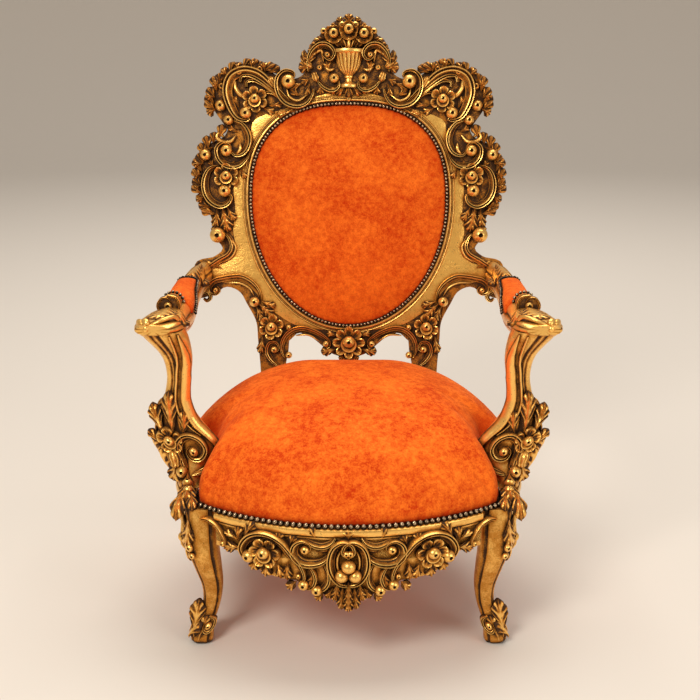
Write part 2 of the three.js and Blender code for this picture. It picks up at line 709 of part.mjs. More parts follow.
function armSupport(armRoom) {
  const carving = [
    scroll({ path: [[14, 384], [6, 400], [22, 414], [48, 402], [52, 374]], wide: 15, tall: 12 }),
    ball({ at: [20, 390], radius: 13 }),
    ball({ at: [-24, 362], radius: 20 }),
    leaf({ at: [-14, 426], turn: 88, long: 84, wide: 32, tall: 12 }),
    leaf({ at: [-32, 418], turn: 108, long: 56, wide: 26, tall: 12 }),
    leaf({ at: [2, 424], turn: 60, long: 36, wide: 24, tall: 12 }),
    ...flower({ at: [-26, 408], radius: 28, tall: 16 }),
  ].map((geometry) => placed(geometry, onFrontOf(ARM_SUPPORT)));
  return cut(joinCarving([uprightOf(ARM_SUPPORT), ...carving]), armRoom);
}

// ---- Upholstery ---------------------------------------------------------------------------
const SEAT_MIDDLE_Y = 262;
// Where the velvet's edge turns in around the foot of the arm support.
const FOOT_NOTCH = [[-319, 44], [-306, 96], [-300, 150], [-306, 184], [-352, 196]];

// The velvet's plan: the seat's own, turned in at the arm supports by the share `notched`.
function velvetPlan(inset, notched = 1) {
  const left = seatPlan(0);
  const front = left.slice(0, FRONT_STEPS + 1);
  const side = left.filter((p) => p.y > FOOT_NOTCH.at(-1)[1]);
  const outerX = (y) => {
    const k = left.findIndex((p) => p.y > y && p.x < -FRONT_HALF);
    const t = (y - left[k - 1].y) / (left[k].y - left[k - 1].y);
    return THREE.MathUtils.lerp(left[k - 1].x, left[k].x, t);
  };
  const notch = FOOT_NOTCH.map(
    ([x, y]) => new THREE.Vector2(THREE.MathUtils.lerp(outerX(y), x, notched), y),
  );
  const half = [...front, ...notch, ...side];
  const whole = [...half, ...half.slice(1).reverse().map((p) => new THREE.Vector2(-p.x, p.y))];
  return whole.map((p, k) => p.clone().addScaledVector(sideways(whole, k), inset));
}

// Height over the rails, as a share of the crown, and how far in the dome has drawn there.
const SEAT_LEVELS = [[0, 1], [0.06, 1], [0.25, 1.005], [0.5, 0.91], [0.76, 0.71], [0.93, 0.42]];
function seatCushion() {
  const base = RAIL_TOP - 6 + GAP;
  const rise = SEAT_CROWN - base;
  const inset = SEAT_NAIL_INSET + SEAT_NAIL_HALF + 2 * GAP;
  const ring = ([lift, share]) =>
    velvetPlan(inset, THREE.MathUtils.clamp(2 - lift * 2.4, 0, 1)).map((p) =>
      v3(p.x * share, SEAT_MIDDLE_Y + (p.y - SEAT_MIDDLE_Y) * share, base + rise * lift),
    );
  return solidOf(loft(SEAT_LEVELS.map(ring), v3(0, SEAT_MIDDLE_Y, SEAT_CROWN)));
}

function nailHoop(line, place, half, low, high, grow = 0) {
  const sections = line.map((p, k) => {
    const side = sideways(line, k);
    const at = (share, w) => place(p.x + side.x * half * share, p.y + side.y * half * share, w);
    const reach = 1 + grow / half;
    return [at(-reach, low - grow), at(reach, low - grow), at(0, high + 2 * grow)];
  });
  return solidOf(hoop(sections));
}

const backNails = () => nailHoop(ovalLine(0, OVAL_SIDES), onBack, BACK_NAIL_HALF, GAP, 5);

// The nails of the seat run round the top of the rails, just outside the velvet.
const SEAT_NAIL_HALF = 5;
const SEAT_NAIL_INSET = 1;
const seatNails = (grow) =>
  nailHoop(
    velvetPlan(SEAT_NAIL_INSET),
    (x, y, w) => v3(x, y, RAIL_TOP - 6 + GAP + w),
    SEAT_NAIL_HALF,
    0,
    10,
    grow,
  );

// The arm pad: a saddle over the arm.
function armPad() {
  const saddle = ARM.slice(ARM_PAD_FROM, ARM_PAD_TO + 1).map(([x, y, z, halfWide]) => {
    const a = halfWide + 6;
    const low = 10;
    const tall = ARM_TOP + 6 - z;
    return [
      [a, low], [a, tall * 0.5], [a * 0.72, tall * 0.88], [0, tall], [-a * 0.72, tall * 0.88],
      [-a, tall * 0.5], [-a, low],
    ].map(([dx, dz]) => v3(x + dx, y, z + dz));
  });
  return solidOf(loft(saddle));
}

// ---- Pieces -------------------------------------------------------------------------------
const throne = new THREE.Group();
function add(name, solid, material) {
  const mesh = new THREE.Mesh(geometryOf(solid), material);
  mesh.name = name;
  throne.add(mesh);
}
function addPair(name, solid, material) {
  add(`${name}_left`, solid, material);
  add(`${name}_right`, mirrored(solid), material);
}

// A block of the back, between two levels and two half widths, through its whole thickness.
const backBlock = (u0, u1, v0, v1) => placed(box([u0, v0, -90], [u1, v1, 90]), onBack);

const rearLeg = uprightOf(REAR_LEG);
const openings = [ovalHole(), crestHole(), mirrored(crestHole())];
const ground = backGround();
const carved = (carving, block) =>
  finished(cut(joinCarving([ground, ...carving]), ...openings).intersect(block));
const crestRail = carved(crestCarving(), backBlock(-500, 500, NECK + GAP, 1400));
const leftStileBlock = join([
  backBlock(-500, -STILE_JOINT, 250, NECK),
  solidOf(box([-500, 500, -1], [-STILE_JOINT, 760, 420])),
]);
const leftStile = carved([...sideCarving(), rearLeg], leftStileBlock);
const bottomRail = carved(bottomCarving(), backBlock(-STILE_JOINT + GAP, STILE_JOINT - GAP, 400, 700));
const leftArm = finished(arm(withGap(leftStile)));
const leftSupport = finished(armSupport(withGap(leftArm)));
const supportRoom = withGap(leftSupport);
const supportRooms = [supportRoom, mirrored(supportRoom)];
const legRoom = uprightOf(FRONT_LEG, GAP);
const legBlocks = join([legRoom, mirrored(legRoom)]);
const rearRoom = uprightOf(REAR_LEG, GAP);
const rearBlocks = join([rearRoom, mirrored(rearRoom)]);
const rail = frontRail();
const leftLeg = finished(cut(frontLeg(), withGap(rail)));
const nails = finished(cut(seatNails(), ...supportRooms, rearBlocks));
const cushionNeighbours = [...supportRooms, rearBlocks, behindBackPlane(GAP), seatNails(GAP)];

add("crest_rail", crestRail, gilt);
addPair("back_stile", leftStile, gilt);
add("back_bottom_rail", bottomRail, gilt);
add("front_rail", finished(cut(rail, legBlocks)), gilt);
addPair("front_leg", leftLeg, gilt);
addPair("side_rail", finished(cut(sideRail(), legBlocks, rearBlocks, supportRoom)), gilt);
add("rear_rail", finished(cut(rearRail(), rearBlocks)), gilt);
addPair("arm_support", leftSupport, gilt);
addPair("arm", leftArm, gilt);
add("seat_cushion", finished(cut(seatCushion(), ...cushionNeighbours)), velvet);
add("back_pad", solidOf(placedPad(-14, -0.6, 38)), velvet);
add("outside_back", solidOf(placedPad(-14 - GAP, -BACK_THICK - 1, -10)), velvet);
addPair("arm_pad", finished(cut(armPad(), withGap(leftArm))), velvet);
add("back_nails", backNails(), bronze);
add("seat_nails", nails, bronze);

function placedPad(back, front, rise) {
  const pad = ovalPad({ grow: -3.5, back, front, rise });
  return geometryOf(placed(pad, onBack));
}

// The finished chair stands with its origin under the middle of its box.
const whole = new THREE.Box3().setFromObject(throne);
throne.position.set(0, -(whole.min.y + whole.max.y) / 2, -whole.min.z);

export default throne;
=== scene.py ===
# %% [markdown]
# # A carved and gilded throne
# The throne is an armchair of carved wood, covered in gold leaf over a dark ground, with a
# velvet seat, a velvet oval in the back and a velvet pad on each arm. Rows of domed nails
# hold the velvet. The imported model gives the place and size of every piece. Each cell below
# dresses one of its pieces with the carving, padding or finish that the real one has.

# %% Load the frame
import math

import bmesh
import bpy
import numpy as np
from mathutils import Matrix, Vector
from mathutils.kdtree import KDTree


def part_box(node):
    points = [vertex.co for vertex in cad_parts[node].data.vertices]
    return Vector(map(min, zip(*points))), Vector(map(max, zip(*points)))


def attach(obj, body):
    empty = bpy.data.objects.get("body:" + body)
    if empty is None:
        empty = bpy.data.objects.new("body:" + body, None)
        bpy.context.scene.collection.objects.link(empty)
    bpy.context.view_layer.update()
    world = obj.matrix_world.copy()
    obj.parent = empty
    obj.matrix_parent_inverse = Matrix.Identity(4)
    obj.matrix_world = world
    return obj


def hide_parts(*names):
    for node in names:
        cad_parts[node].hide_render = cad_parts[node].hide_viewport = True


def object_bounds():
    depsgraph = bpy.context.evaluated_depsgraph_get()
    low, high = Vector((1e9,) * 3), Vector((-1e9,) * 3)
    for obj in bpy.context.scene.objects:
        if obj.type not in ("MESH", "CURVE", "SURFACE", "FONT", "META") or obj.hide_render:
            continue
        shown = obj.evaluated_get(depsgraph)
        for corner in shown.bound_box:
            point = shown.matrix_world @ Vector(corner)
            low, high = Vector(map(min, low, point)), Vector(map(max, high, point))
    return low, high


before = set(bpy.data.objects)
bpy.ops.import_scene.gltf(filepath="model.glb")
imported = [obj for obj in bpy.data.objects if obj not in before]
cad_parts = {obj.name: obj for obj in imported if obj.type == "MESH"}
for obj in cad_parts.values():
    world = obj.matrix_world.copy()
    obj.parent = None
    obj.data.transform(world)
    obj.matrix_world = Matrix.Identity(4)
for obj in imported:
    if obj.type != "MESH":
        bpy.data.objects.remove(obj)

for name in ("Cube", "Light", "Camera"):  # what Blender itself puts in a new file
    if name in bpy.data.objects:
        bpy.data.objects.remove(bpy.data.objects[name])
cad_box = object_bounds()
print("the frame has", len(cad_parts), "pieces; its box in metres:", cad_box)

# %% [markdown]
# ## The workbench
# A carver measures from the chair itself: heights from the floor, and depths from the line
# through the two front legs. The cells below do the same, in millimetres, and one function
# turns those numbers into metres in the frame. The rear rail tells where that line is.
#
# A carved motif is easiest to draw flat: u across, v up and w out of the wood. Two grounds
# then bend it into place: the raked plane of the back, and the bow of the front rail.

# %% Measures and grounds
RAIL_BACK = 582  # depth of the rear rail's back face behind the front legs' line
BENCH_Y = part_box("rear_rail")[1].y * 1000 - RAIL_BACK
RAIL_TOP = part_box("rear_rail")[1].z * 1000

RAKE = math.radians(9)
BACK_FOOT = 509  # where the back's front plane would meet the floor
FRONT_HALF = 314
BOW = 115
BOW_RADIUS = (FRONT_HALF**2 + BOW**2) / (2 * BOW)
BOW_CENTRE = BOW_RADIUS - BOW


def to_metres(points):
    """Bench millimetres to metres in the frame."""
    return (np.asarray(points)[:, :3] + [0, BENCH_Y, 0]) / 1000


def on_back(points):
    """Puts flat carving (u, v, w, relief) on the raked front plane of the back."""
    u, v, w, relief = points.T
    y = BACK_FOOT + v * math.sin(RAKE) - w * math.cos(RAKE)
    z = v * math.cos(RAKE) + w * math.sin(RAKE)
    return np.column_stack([u, y, z, relief])


def on_bow(points):
    """Bends flat carving round the bowed front of the seat rail."""
    u, v, w, relief = points.T
    reach, turn = BOW_RADIUS + w, u / BOW_RADIUS
    return np.column_stack([reach * np.sin(turn), BOW_CENTRE - reach * np.cos(turn), v, relief])


print("bench line at", round(BENCH_Y, 1), "mm; bow radius", round(BOW_RADIUS, 1), "mm")

# %% [markdown]
# ## Forms
# Every carved form here is a closed skin made of rings of points, like the ribs of a boat.
# A scroll, a leaf, a petal or a leg differs only in its rings, so one function that joins
# rings serves them all. Each point also carries its relief, from 0 in the depth of the
# carving to 1 on its ridges: the gilding reads it later, because gold is rubbed bright on the
# ridges and old glaze stays in the depths.

# %% Rings into closed skins
def loft(rings, closed=False):
    """Joins rings of points into a skin. An open row of rings gets a cap at each end."""
    rings = np.asarray(rings, float)
    count, size = rings.shape[:2]
    points = rings.reshape(-1, 4)
    r = np.arange(count if closed else count - 1)[:, None] * size
    k = np.arange(size)[None, :]
    after = (k + 1) % size
    up = (r + size) % (count * size)
    faces = np.stack([r + k, r + after, up + after, up + k], -1).reshape(-1, 4).tolist()
    if not closed:
        low, high = len(points), len(points) + 1
        points = np.vstack([points, rings[0].mean(0), rings[-1].mean(0)])
        last = (count - 1) * size
        ring = [(i, (i + 1) % size) for i in range(size)]
        faces += [[low, b, a] for a, b in ring] + [[high, last + a, last + b] for a, b in ring]
    return points, faces


def joined(forms):
    """Several forms as one list of points and faces."""
    points, faces, start = [], [], 0
    for form_points, form_faces in forms:
        points.append(form_points)
        faces += [[i + start for i in face] for face in form_faces]
        start += len(form_points)
    return np.vstack(points), faces


def placed(forms, ground):
    """The forms laid on a ground."""
    return [(ground(points), faces) for points, faces in forms]


def mirrored(forms):
    """The same forms on the other side of the chair."""
    flip = np.array([-1, 1, 1, 1])
    return [(points * flip, [face[::-1] for face in faces]) for points, faces in forms]


def both_sides(forms):
    return forms + mirrored(forms)


print("a form is a list of points, each with its relief, and a list of faces")

# %% [markdown]
# ## Lines
# A carver bends a thin batten through a few marks and draws along it. The smooth line below
# does the same for the paths of scrolls and the outlines of boards. The helpers before it
# measure along a line, space points on it, and tell which way it runs or where its outside is.

# %% Lines through marks
def distances(line):
    """How far each point of a line lies from its start, measured along the line."""
    return np.concatenate([[0], np.cumsum(np.linalg.norm(np.diff(line, axis=0), axis=1))])


def evenly(line, at):
    """Points of a line at the given distances from its start."""
    length = distances(line)
    return np.column_stack([np.interp(at, length, column) for column in line.T])


def even_ring(line, count):
    """A closed line, whose last point is its first, as evenly spaced points; and its length."""
    whole = distances(line)[-1]
    return evenly(line, np.linspace(0, whole, count, endpoint=False)), whole


def headings(line):
    """The direction in which an open line runs at each of its points."""
    along = np.gradient(line, axis=0)
    return along / np.linalg.norm(along, axis=1)[:, None]


def outwards(ring):
    """The direction out of a closed line at each of its points."""
    along = np.roll(ring, -1, axis=0) - np.roll(ring, 1, axis=0)
    along /= np.linalg.norm(along, axis=1)[:, None]
    return np.column_stack([along[:, 1], -along[:, 0]])


def smooth_line(path, count):
    """A smooth line through the given points, as evenly spaced points."""
    p = np.array(path, float)
    p = np.vstack([2 * p[0] - p[1], p, 2 * p[-1] - p[-2]])
    knots = np.concatenate([[0], np.cumsum(np.sqrt(np.linalg.norm(np.diff(p, axis=0), axis=1)))])
    fine = []
    for i in range(1, len(p) - 2):
        a, b, c, d = knots[i - 1 : i + 3]
        for t in np.linspace(b, c, 24, endpoint=False):
            ab = (p[i - 1] * (b - t) + p[i] * (t - a)) / (b - a)
            bc = (p[i] * (c - t) + p[i + 1] * (t - b)) / (c - b)
            cd = (p[i + 1] * (d - t) + p[i + 2] * (t - c)) / (d - c)
            abc = (ab * (c - t) + bc * (t - a)) / (c - a)
            bcd = (bc * (d - t) + cd * (t - b)) / (d - b)
            fine.append((abc * (c - t) + bcd * (t - b)) / (c - b))
    fine = np.array(fine + [p[-2]])
    return evenly(fine, np.linspace(0, distances(fine)[-1], count))


def line_length(path):
    return float(distances(np.array(path, float))[-1])


batten = smooth_line([(0, 0), (50, 40), (100, 0)], 60)
print("a batten bent through three marks is", round(line_length(batten), 1), "mm long")

# %% Forms into pieces of the chair
def make_piece(name, forms, finish, slot, *nodes, sharp=38):
    """One object from forms in bench millimetres. It stands for the given nodes."""
    points, faces = joined(forms)
    mesh = bpy.data.meshes.new(name)
    mesh.from_pydata(to_metres(points).tolist(), [], faces)
    relief = mesh.attributes.new("relief", "FLOAT", "POINT")
    relief.data.foreach_set("value", points[:, 3].astype(np.float32))
    shell = bmesh.new()
    shell.from_mesh(mesh)
    bmesh.ops.recalc_face_normals(shell, faces=shell.faces)
    shell.to_mesh(mesh)
    shell.free()
    mesh.polygons.foreach_set("use_smooth", [True] * len(mesh.polygons))
    mesh.set_sharp_from_angle(angle=math.radians(sharp))
    piece = bpy.data.objects.new(name, mesh)
    bpy.context.scene.collection.objects.link(piece)
    mesh.materials.append(finish)
    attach(piece, "root")
    if nodes:
        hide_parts(*nodes)
    print(name, len(faces), "faces")
    return piece

# %% [markdown]
# ## Old gold leaf
# Carved chairs were coated with chalk ground, painted with red-brown clay and covered in
# leaf gold. A dark glaze then settled in the hollows, and hands polished the ridges. One
# shared effect tells how deep a spot lies: the relief kept with each point, darkened where
# neighbouring carving shades it, which is painted shade on top of the real glaze. A second
# one gives the mottling and the small dark specks of a surface that was laid in leaves by
# hand. The gilding puts both together.

# %% Shared effects for the gilding
def new_group(name, inputs, outputs):
    """A shader node group with named sockets. An input is given as its default value."""
    group = bpy.data.node_groups.new(name, "ShaderNodeTree")
    for label, default in inputs.items():
        kind = "NodeSocketColor" if isinstance(default, tuple) else "NodeSocketFloat"
        socket = group.interface.new_socket(label, in_out="INPUT", socket_type=kind)
        socket.default_value = default
    for label, kind in outputs.items():
        group.interface.new_socket(label, in_out="OUTPUT", socket_type="NodeSocket" + kind)
    return group, group.nodes.new("NodeGroupInput").outputs, group.nodes.new("NodeGroupOutput").inputs


def node(tree, kind, **settings):
    """A node; a setting that names a socket gives its value, or the socket that feeds it."""
    fresh = tree.nodes.new("ShaderNode" + kind)
    for label, value in settings.items():
        if hasattr(fresh, label) and label not in fresh.inputs:
            setattr(fresh, label, value)
    for label, value in settings.items():
        if label in fresh.inputs:
            feed(tree, fresh.inputs[label], value)
    return fresh


def feed(tree, socket, value):
    if isinstance(value, bpy.types.NodeSocket):
        tree.links.new(value, socket)
    else:
        socket.default_value = value


print("helpers: new_group, node, feed")

# %% [markdown]
# The next helpers are the words that the effects are written in: one step of arithmetic, a
# smooth fade between two values, a blend of two colours, and a cloud of even noise. The last
# two begin a material and give it a fine bump.

# %% Words for the effects
def sums(tree, operation, *values, clamp=False):
    """One step of arithmetic."""
    step = tree.nodes.new("ShaderNodeMath")
    step.operation = operation
    step.use_clamp = clamp
    for k, value in enumerate(values):
        feed(tree, step.inputs[k], value)
    return step.outputs[0]


def fade(tree, value, low, high, start=0.0, end=1.0):
    """Smoothly from start to end while the value goes from low to high."""
    ramp = node(tree, "MapRange", interpolation_type="SMOOTHSTEP", Value=value)
    for label, number in (("From Min", low), ("From Max", high), ("To Min", start), ("To Max", end)):
        ramp.inputs[label].default_value = number
    return ramp.outputs[0]


def blend_colour(tree, share, under, over):
    mix = tree.nodes.new("ShaderNodeMix")
    mix.data_type = "RGBA"
    for k, value in ((0, share), (6, under), (7, over)):
        feed(tree, mix.inputs[k], value)
    return mix.outputs[2]


def cloud(tree, size_mm, detail=3.0, rough=0.55, shift=0.0):
    """Even noise from 0 to 1 in the chair's own coordinates, with features of that size."""
    place = tree.nodes.new("ShaderNodeTexCoord").outputs["Object"]
    moved = node(tree, "Mapping", Vector=place)
    moved.inputs["Location"].default_value = (shift, shift * 0.7, shift * 1.3)
    texture = node(tree, "TexNoise", Vector=moved.outputs[0])
    for label, number in (("Scale", 1000 / size_mm), ("Detail", detail), ("Roughness", rough)):
        texture.inputs[label].default_value = number
    return texture.outputs["Fac"]


def new_material(name):
    """An empty material, its node tree and its shader."""
    material = bpy.data.materials.new(name)
    material.use_nodes = True
    return material, material.node_tree, material.node_tree.nodes["Principled BSDF"]


def texture_skin(tree, shader, height, strength, distance):
    """A fine bump on the shader's surface."""
    bump = node(tree, "Bump", Height=height, Strength=strength, Distance=distance)
    tree.links.new(bump.outputs["Normal"], shader.inputs["Normal"])


print("helpers: sums, fade, blend_colour, cloud, new_material, texture_skin")

# %% [markdown]
# The depth effect multiplies the kept relief by how open the spot is to its surroundings,
# which paints shade into the colour wherever neighbouring carving encloses a spot. The leaf
# effect turns depth into colour: glaze and painted shade below, warm gold above it, bright
# gold on top. It also tells how metallic and how rough each spot is, and where the skin is worn.

# %% How deep a spot lies, with painted shade
hollows, given, out = new_group(
    "carving_depth_and_shade", {"Shade reach": 0.014, "Shade strength": 1.0}, {"Height": "Float"}
)
kept = node(hollows, "Attribute", attribute_name="relief").outputs["Fac"]
# painted shade: occlusion by nearby carving lowers the height, and the Height output carries it into the
# glaze colour
shade = node(hollows, "AmbientOcclusion", samples=8, Distance=given["Shade reach"])
open_sky = sums(hollows, "POWER", shade.outputs["AO"], given["Shade strength"])
lit = sums(hollows, "MULTIPLY", fade(hollows, kept, 0.0, 0.9, 0.12, 1.0), open_sky)
hollows.links.new(lit, out["Height"])
print("group:", hollows.name)

# %% Gold laid in leaves by hand
laid, given, out = new_group(
    "hand_laid_leaf",
    {"Height": 1.0, "Bright": (1.0, 0.6, 0.2, 1), "Warm": (0.6, 0.25, 0.04, 1), "Glaze and shade": (0, 0, 0, 1)},
    {"Colour": "Color", "Gold": "Float", "Roughness": "Float", "Wear": "Float"},
)
mottle = cloud(laid, 22, detail=4)
grain = cloud(laid, 3.2, detail=2, shift=3.1)
# the height holds painted shade as well as relief, so glaze, warm gold and bright gold all follow it
rubbed_and_shaded = sums(laid, "ADD", given["Height"], fade(laid, mottle, 0.25, 0.75, -0.14, 0.14))
rubbed_and_shaded = sums(laid, "ADD", rubbed_and_shaded, fade(laid, grain, 0.3, 0.7, -0.07, 0.07))
gold = fade(laid, rubbed_and_shaded, 0.12, 0.42)
polish_and_painted_light = fade(laid, rubbed_and_shaded, 0.45, 0.95)
specks = fade(laid, cloud(laid, 5.5, detail=6, rough=0.7, shift=7.7), 0.6, 0.67)
colour = blend_colour(laid, polish_and_painted_light, given["Warm"], given["Bright"])
colour = blend_colour(laid, gold, given["Glaze and shade"], colour)
colour = blend_colour(laid, sums(laid, "MULTIPLY", specks, 0.75), colour, given["Glaze and shade"])
whole = sums(laid, "SUBTRACT", 1.0, sums(laid, "MULTIPLY", specks, 0.8))
laid.links.new(colour, out["Colour"])
laid.links.new(sums(laid, "MULTIPLY", sums(laid, "MULTIPLY", gold, whole), 0.8), out["Gold"])
laid.links.new(fade(laid, rubbed_and_shaded, 0.1, 0.9, 0.72, 0.3), out["Roughness"])
wear = sums(laid, "ADD", sums(laid, "MULTIPLY", grain, 0.6), sums(laid, "MULTIPLY", mottle, 1.2))
laid.links.new(wear, out["Wear"])
print("groups:", hollows.name, laid.name)

# %% The gilding of the carved wood
# the dark of the hollows and specks: real glaze, and painted shade where the depth effect darkens a spot
GLAZE_AND_SHADE = (0.05, 0.019, 0.005)


def gilding(name, bright, warm, reach=0.014, strength=1.8, bump=0.35):
    """Gold over a dark glaze and painted shade: reach and strength tell how far the hollows are shaded.
    """
    material, tree, shader = new_material(name)
    depth = node(tree, "Group", node_tree=hollows)
    depth.inputs["Shade reach"].default_value = reach
    depth.inputs["Shade strength"].default_value = strength
    leaf_laid = node(tree, "Group", node_tree=laid)
    for label, colour in (("Bright", bright), ("Warm", warm), ("Glaze and shade", GLAZE_AND_SHADE)):
        leaf_laid.inputs[label].default_value = (*colour, 1)
    tree.links.new(depth.outputs["Height"], leaf_laid.inputs["Height"])
    texture_skin(tree, shader, leaf_laid.outputs["Wear"], bump, 0.0012)
    tree.links.new(leaf_laid.outputs["Colour"], shader.inputs["Base Color"])
    tree.links.new(leaf_laid.outputs["Gold"], shader.inputs["Metallic"])
    tree.links.new(leaf_laid.outputs["Roughness"], shader.inputs["Roughness"])
    shader.inputs["Specular IOR Level"].default_value = 0.2
    return material


# both gildings darken their colour with painted shade through the depth effect
old_gold = gilding("old_gold", (1.0, 0.58, 0.15), (0.56, 0.22, 0.028))
plain_gold = gilding("worn_plain_gold", (1.0, 0.57, 0.13), (0.5, 0.2, 0.028), reach=0.01, strength=1.0,
                     bump=0.7)
print("materials:", old_gold.name, plain_gold.name)

# %% [markdown]
# ## Carved motifs
# The frame is covered in a small family of motifs: scrolls with a raised outer rib and a
# hollow face, acanthus leaves with notched edges, flowers of cupped petals, round fruits
# drilled with one hole, and fluted husks. Each is drawn once as a function, and the lists
# further down give only their places and sizes. Rings of points were chosen over sculpting,
# because they give crisp ribs at the width of a real gouge.

# %% Scrolls
ROOT = 5  # how deep a motif is rooted in its ground
# Across a scroll from its outer to its inner side: place, height and relief.
RIBBED = [
    (-1.0, 0.0, 0.0), (-1.0, 0.52, 0.45), (-0.95, 0.84, 0.8), (-0.83, 0.99, 1.0), (-0.68, 0.97, 1.0),
    (-0.56, 0.76, 0.4), (-0.47, 0.62, 0.05), (-0.36, 0.72, 0.5), (-0.2, 0.86, 1.0), (-0.02, 0.82, 0.9),
    (0.16, 0.62, 0.45), (0.38, 0.44, 0.2), (0.62, 0.38, 0.35), (0.82, 0.46, 0.8), (0.95, 0.4, 0.6),
    (1.0, 0.2, 0.2), (1.0, 0.0, 0.0),
]
ROUNDED = [
    (-1.0, 0.0, 0.0), (-1.0, 0.35, 0.35), (-0.86, 0.68, 0.7), (-0.6, 0.9, 0.9), (-0.3, 0.99, 1.0),
    (0.0, 1.0, 1.0), (0.3, 0.99, 1.0), (0.6, 0.9, 0.9), (0.86, 0.68, 0.7), (1.0, 0.35, 0.35),
    (1.0, 0.0, 0.0),
]


def swelling(count, start, end, reach=0.4):
    """Shares along a band that is thin at its ends: start and end are its share there."""
    t = np.linspace(0, 1, count)
    rise = start + (1 - start) * np.sin(np.minimum(1, t / reach) * math.pi / 2)
    fall = end + (1 - end) * np.sin(np.minimum(1, (1 - t) / reach) * math.pi / 2)
    return rise * fall


def scroll(path, wide, tall, ends=(0.45, 0.3), section=RIBBED, flip=False):
    """A carved band along a path. Its high rib runs on the outside of the curve."""
    line = smooth_line(path, max(16, int(line_length(path) / 3)))
    along = headings(line)
    side = np.column_stack([-along[:, 1], along[:, 0]])
    turning = np.sum(along[:-1, 0] * along[1:, 1] - along[:-1, 1] * along[1:, 0])
    outer = 1 if (turning < 0) != flip else -1
    swell = swelling(len(line), *ends)
    place, height, relief = np.array(section).T
    half = swell[:, None] * wide / 2
    lift = tall * (0.35 + 0.65 * swell[:, None])
    u = line[:, :1] - side[:, :1] * outer * half * place
    v = line[:, 1:2] - side[:, 1:2] * outer * half * place
    w = np.where(height > 0, lift * height, -ROOT)
    return loft(np.stack([u, v, w, np.broadcast_to(relief, u.shape)], -1))


def rooted(top):
    """A skin of rings whose two long edges go down into the ground."""
    low, high = top[:, :1].copy(), top[:, -1:].copy()
    low[..., 2:] = high[..., 2:] = (-ROOT, 0)
    return loft(np.concatenate([low, top, high], 1))


print("a scroll has", len(RIBBED), "points across")

# %% Leaves
def leaf(at, turn, long, wide, tall, bend=0, lobes=3, tip=0.5, root=0.5):
    """An acanthus leaf from its root, towards turn degrees, its tip swung by bend degrees."""
    count = 9 * lobes + 6
    t = np.linspace(0, 1, count)
    angle = np.radians(turn + bend * (t - 0.2))
    forward = np.column_stack([np.cos(angle), np.sin(angle)])
    side = np.column_stack([-np.sin(angle), np.cos(angle)])
    walked = np.vstack([[0, 0], np.cumsum(forward[:-1], axis=0)]) * long / (count - 1)
    line = np.array(at, float) + walked
    across = np.linspace(-1, 1, 17)
    off = np.abs(across)[None, :]
    body = root + (1 - root) * np.sin(np.minimum(1, t / 0.5) * math.pi / 2)
    body = body * (1 - np.maximum(0, (t - 0.5) / 0.5) ** 2.2 * 0.93)
    lobe = np.abs(np.sin(math.pi * lobes * t)) ** 0.55
    half = (wide * 0.6 * body * (0.74 + 0.26 * np.where(t > 1 - 0.5 / lobes, 1, lobe)))[:, None]
    sweep = 0.38 * long * off**1.4 * (1 - t[:, None])
    u = line[:, :1] + side[:, :1] * half * across + forward[:, :1] * sweep
    v = line[:, 1:] + side[:, 1:] * half * across + forward[:, 1:] * sweep
    rise = 0.55 + 0.45 * np.sin(np.minimum(1, t * 1.15) * math.pi / 2) + (tip - 0.5) * t**2
    rise = rise * (1 - 0.5 * np.maximum(0, (t - 0.84) / 0.16) ** 2)
    flute = 0.5 - 0.5 * np.cos(2 * math.pi * (lobes * t[:, None] + 0.55 * (1 - off)))
    outwards = np.minimum(1, off * 2.2)
    dome = 1 - 0.5 * off**2 - 0.24 * (1 - flute) ** 1.5 * outwards
    crease = 0.14 * np.exp(-((off / 0.1) ** 2)) - 0.14 * np.exp(-(((off - 0.2) / 0.08) ** 2))
    share = rise[:, None] * (dome + crease)
    relief = np.clip(share * 1.1 - 0.1 - 0.75 * (1 - flute) ** 1.5 * outwards, 0, 1)
    return rooted(np.stack([u, v, tall * share, relief], -1))


def leaf_row(path, count, long, wide, tall, turn_by=0, lobes=1):
    """Leaves that stand along an edge and point out of it, to the path's left."""
    line = smooth_line(path, 200)
    along = headings(line)
    forms = []
    for k in range(count):
        i = int(round(199 * (k + 0.5) / count))
        turn = math.degrees(math.atan2(along[i, 0], -along[i, 1])) + turn_by
        size = 1 + 0.12 * math.sin(2.3 * k + 1)
        forms.append(leaf(line[i], turn, long * size, wide, tall * size, lobes=lobes, tip=0.7))
    return forms


print("a leaf of three lobes has", len(leaf((0, 0), 0, 30, 20, 10)[1]), "faces")

# %% Fruits, flowers and husks
def turned(profile, at, count=20):
    """A form turned round the axis that stands out of the ground: (radius, height, relief)."""
    angle = np.linspace(0, 2 * math.pi, count, endpoint=False)
    rings = []
    for radius, height, relief in profile:
        u, v = at[0] + radius * np.cos(angle), at[1] + radius * np.sin(angle)
        rings.append(np.column_stack([u, v, np.full(count, height), np.full(count, relief)]))
    return loft(rings)


def fruit(at, radius, lift=0.5, hole=0.27):
    """A round fruit with a drilled hole."""
    middle = radius * lift
    brim = math.radians(90) - hole * 1.15
    levels = np.radians([-70, -45, -20, 0, 18, 36, 52, 64, 72])
    profile = []
    for a in (*levels[levels < brim - 0.05], brim):
        height = math.sin(a)
        profile.append((radius * math.cos(a), middle + radius * height, 0.6 + 0.4 * max(height, 0)))
    top, r = middle + radius * math.sin(brim), radius * math.cos(brim)
    for share, fall, relief in ((0.86, 0.06, 0.3), (0.74, 0.3, 0.0), (0.5, 0.5, 0.0)):
        profile.append((r * share, top - radius * fall, relief))
    return turned(profile, at)


print("a fruit has", len(fruit((0, 0), 10)[1]), "faces")

# %% [markdown]
# Flowers are petals round a fruit. A petal is a strip of points whose middle is scooped out
# and whose rim is rolled, with a cleft at the tip. Small leaves show between the petals as
# sepals. A rose has five broad petals and a lipped heart instead of a fruit.

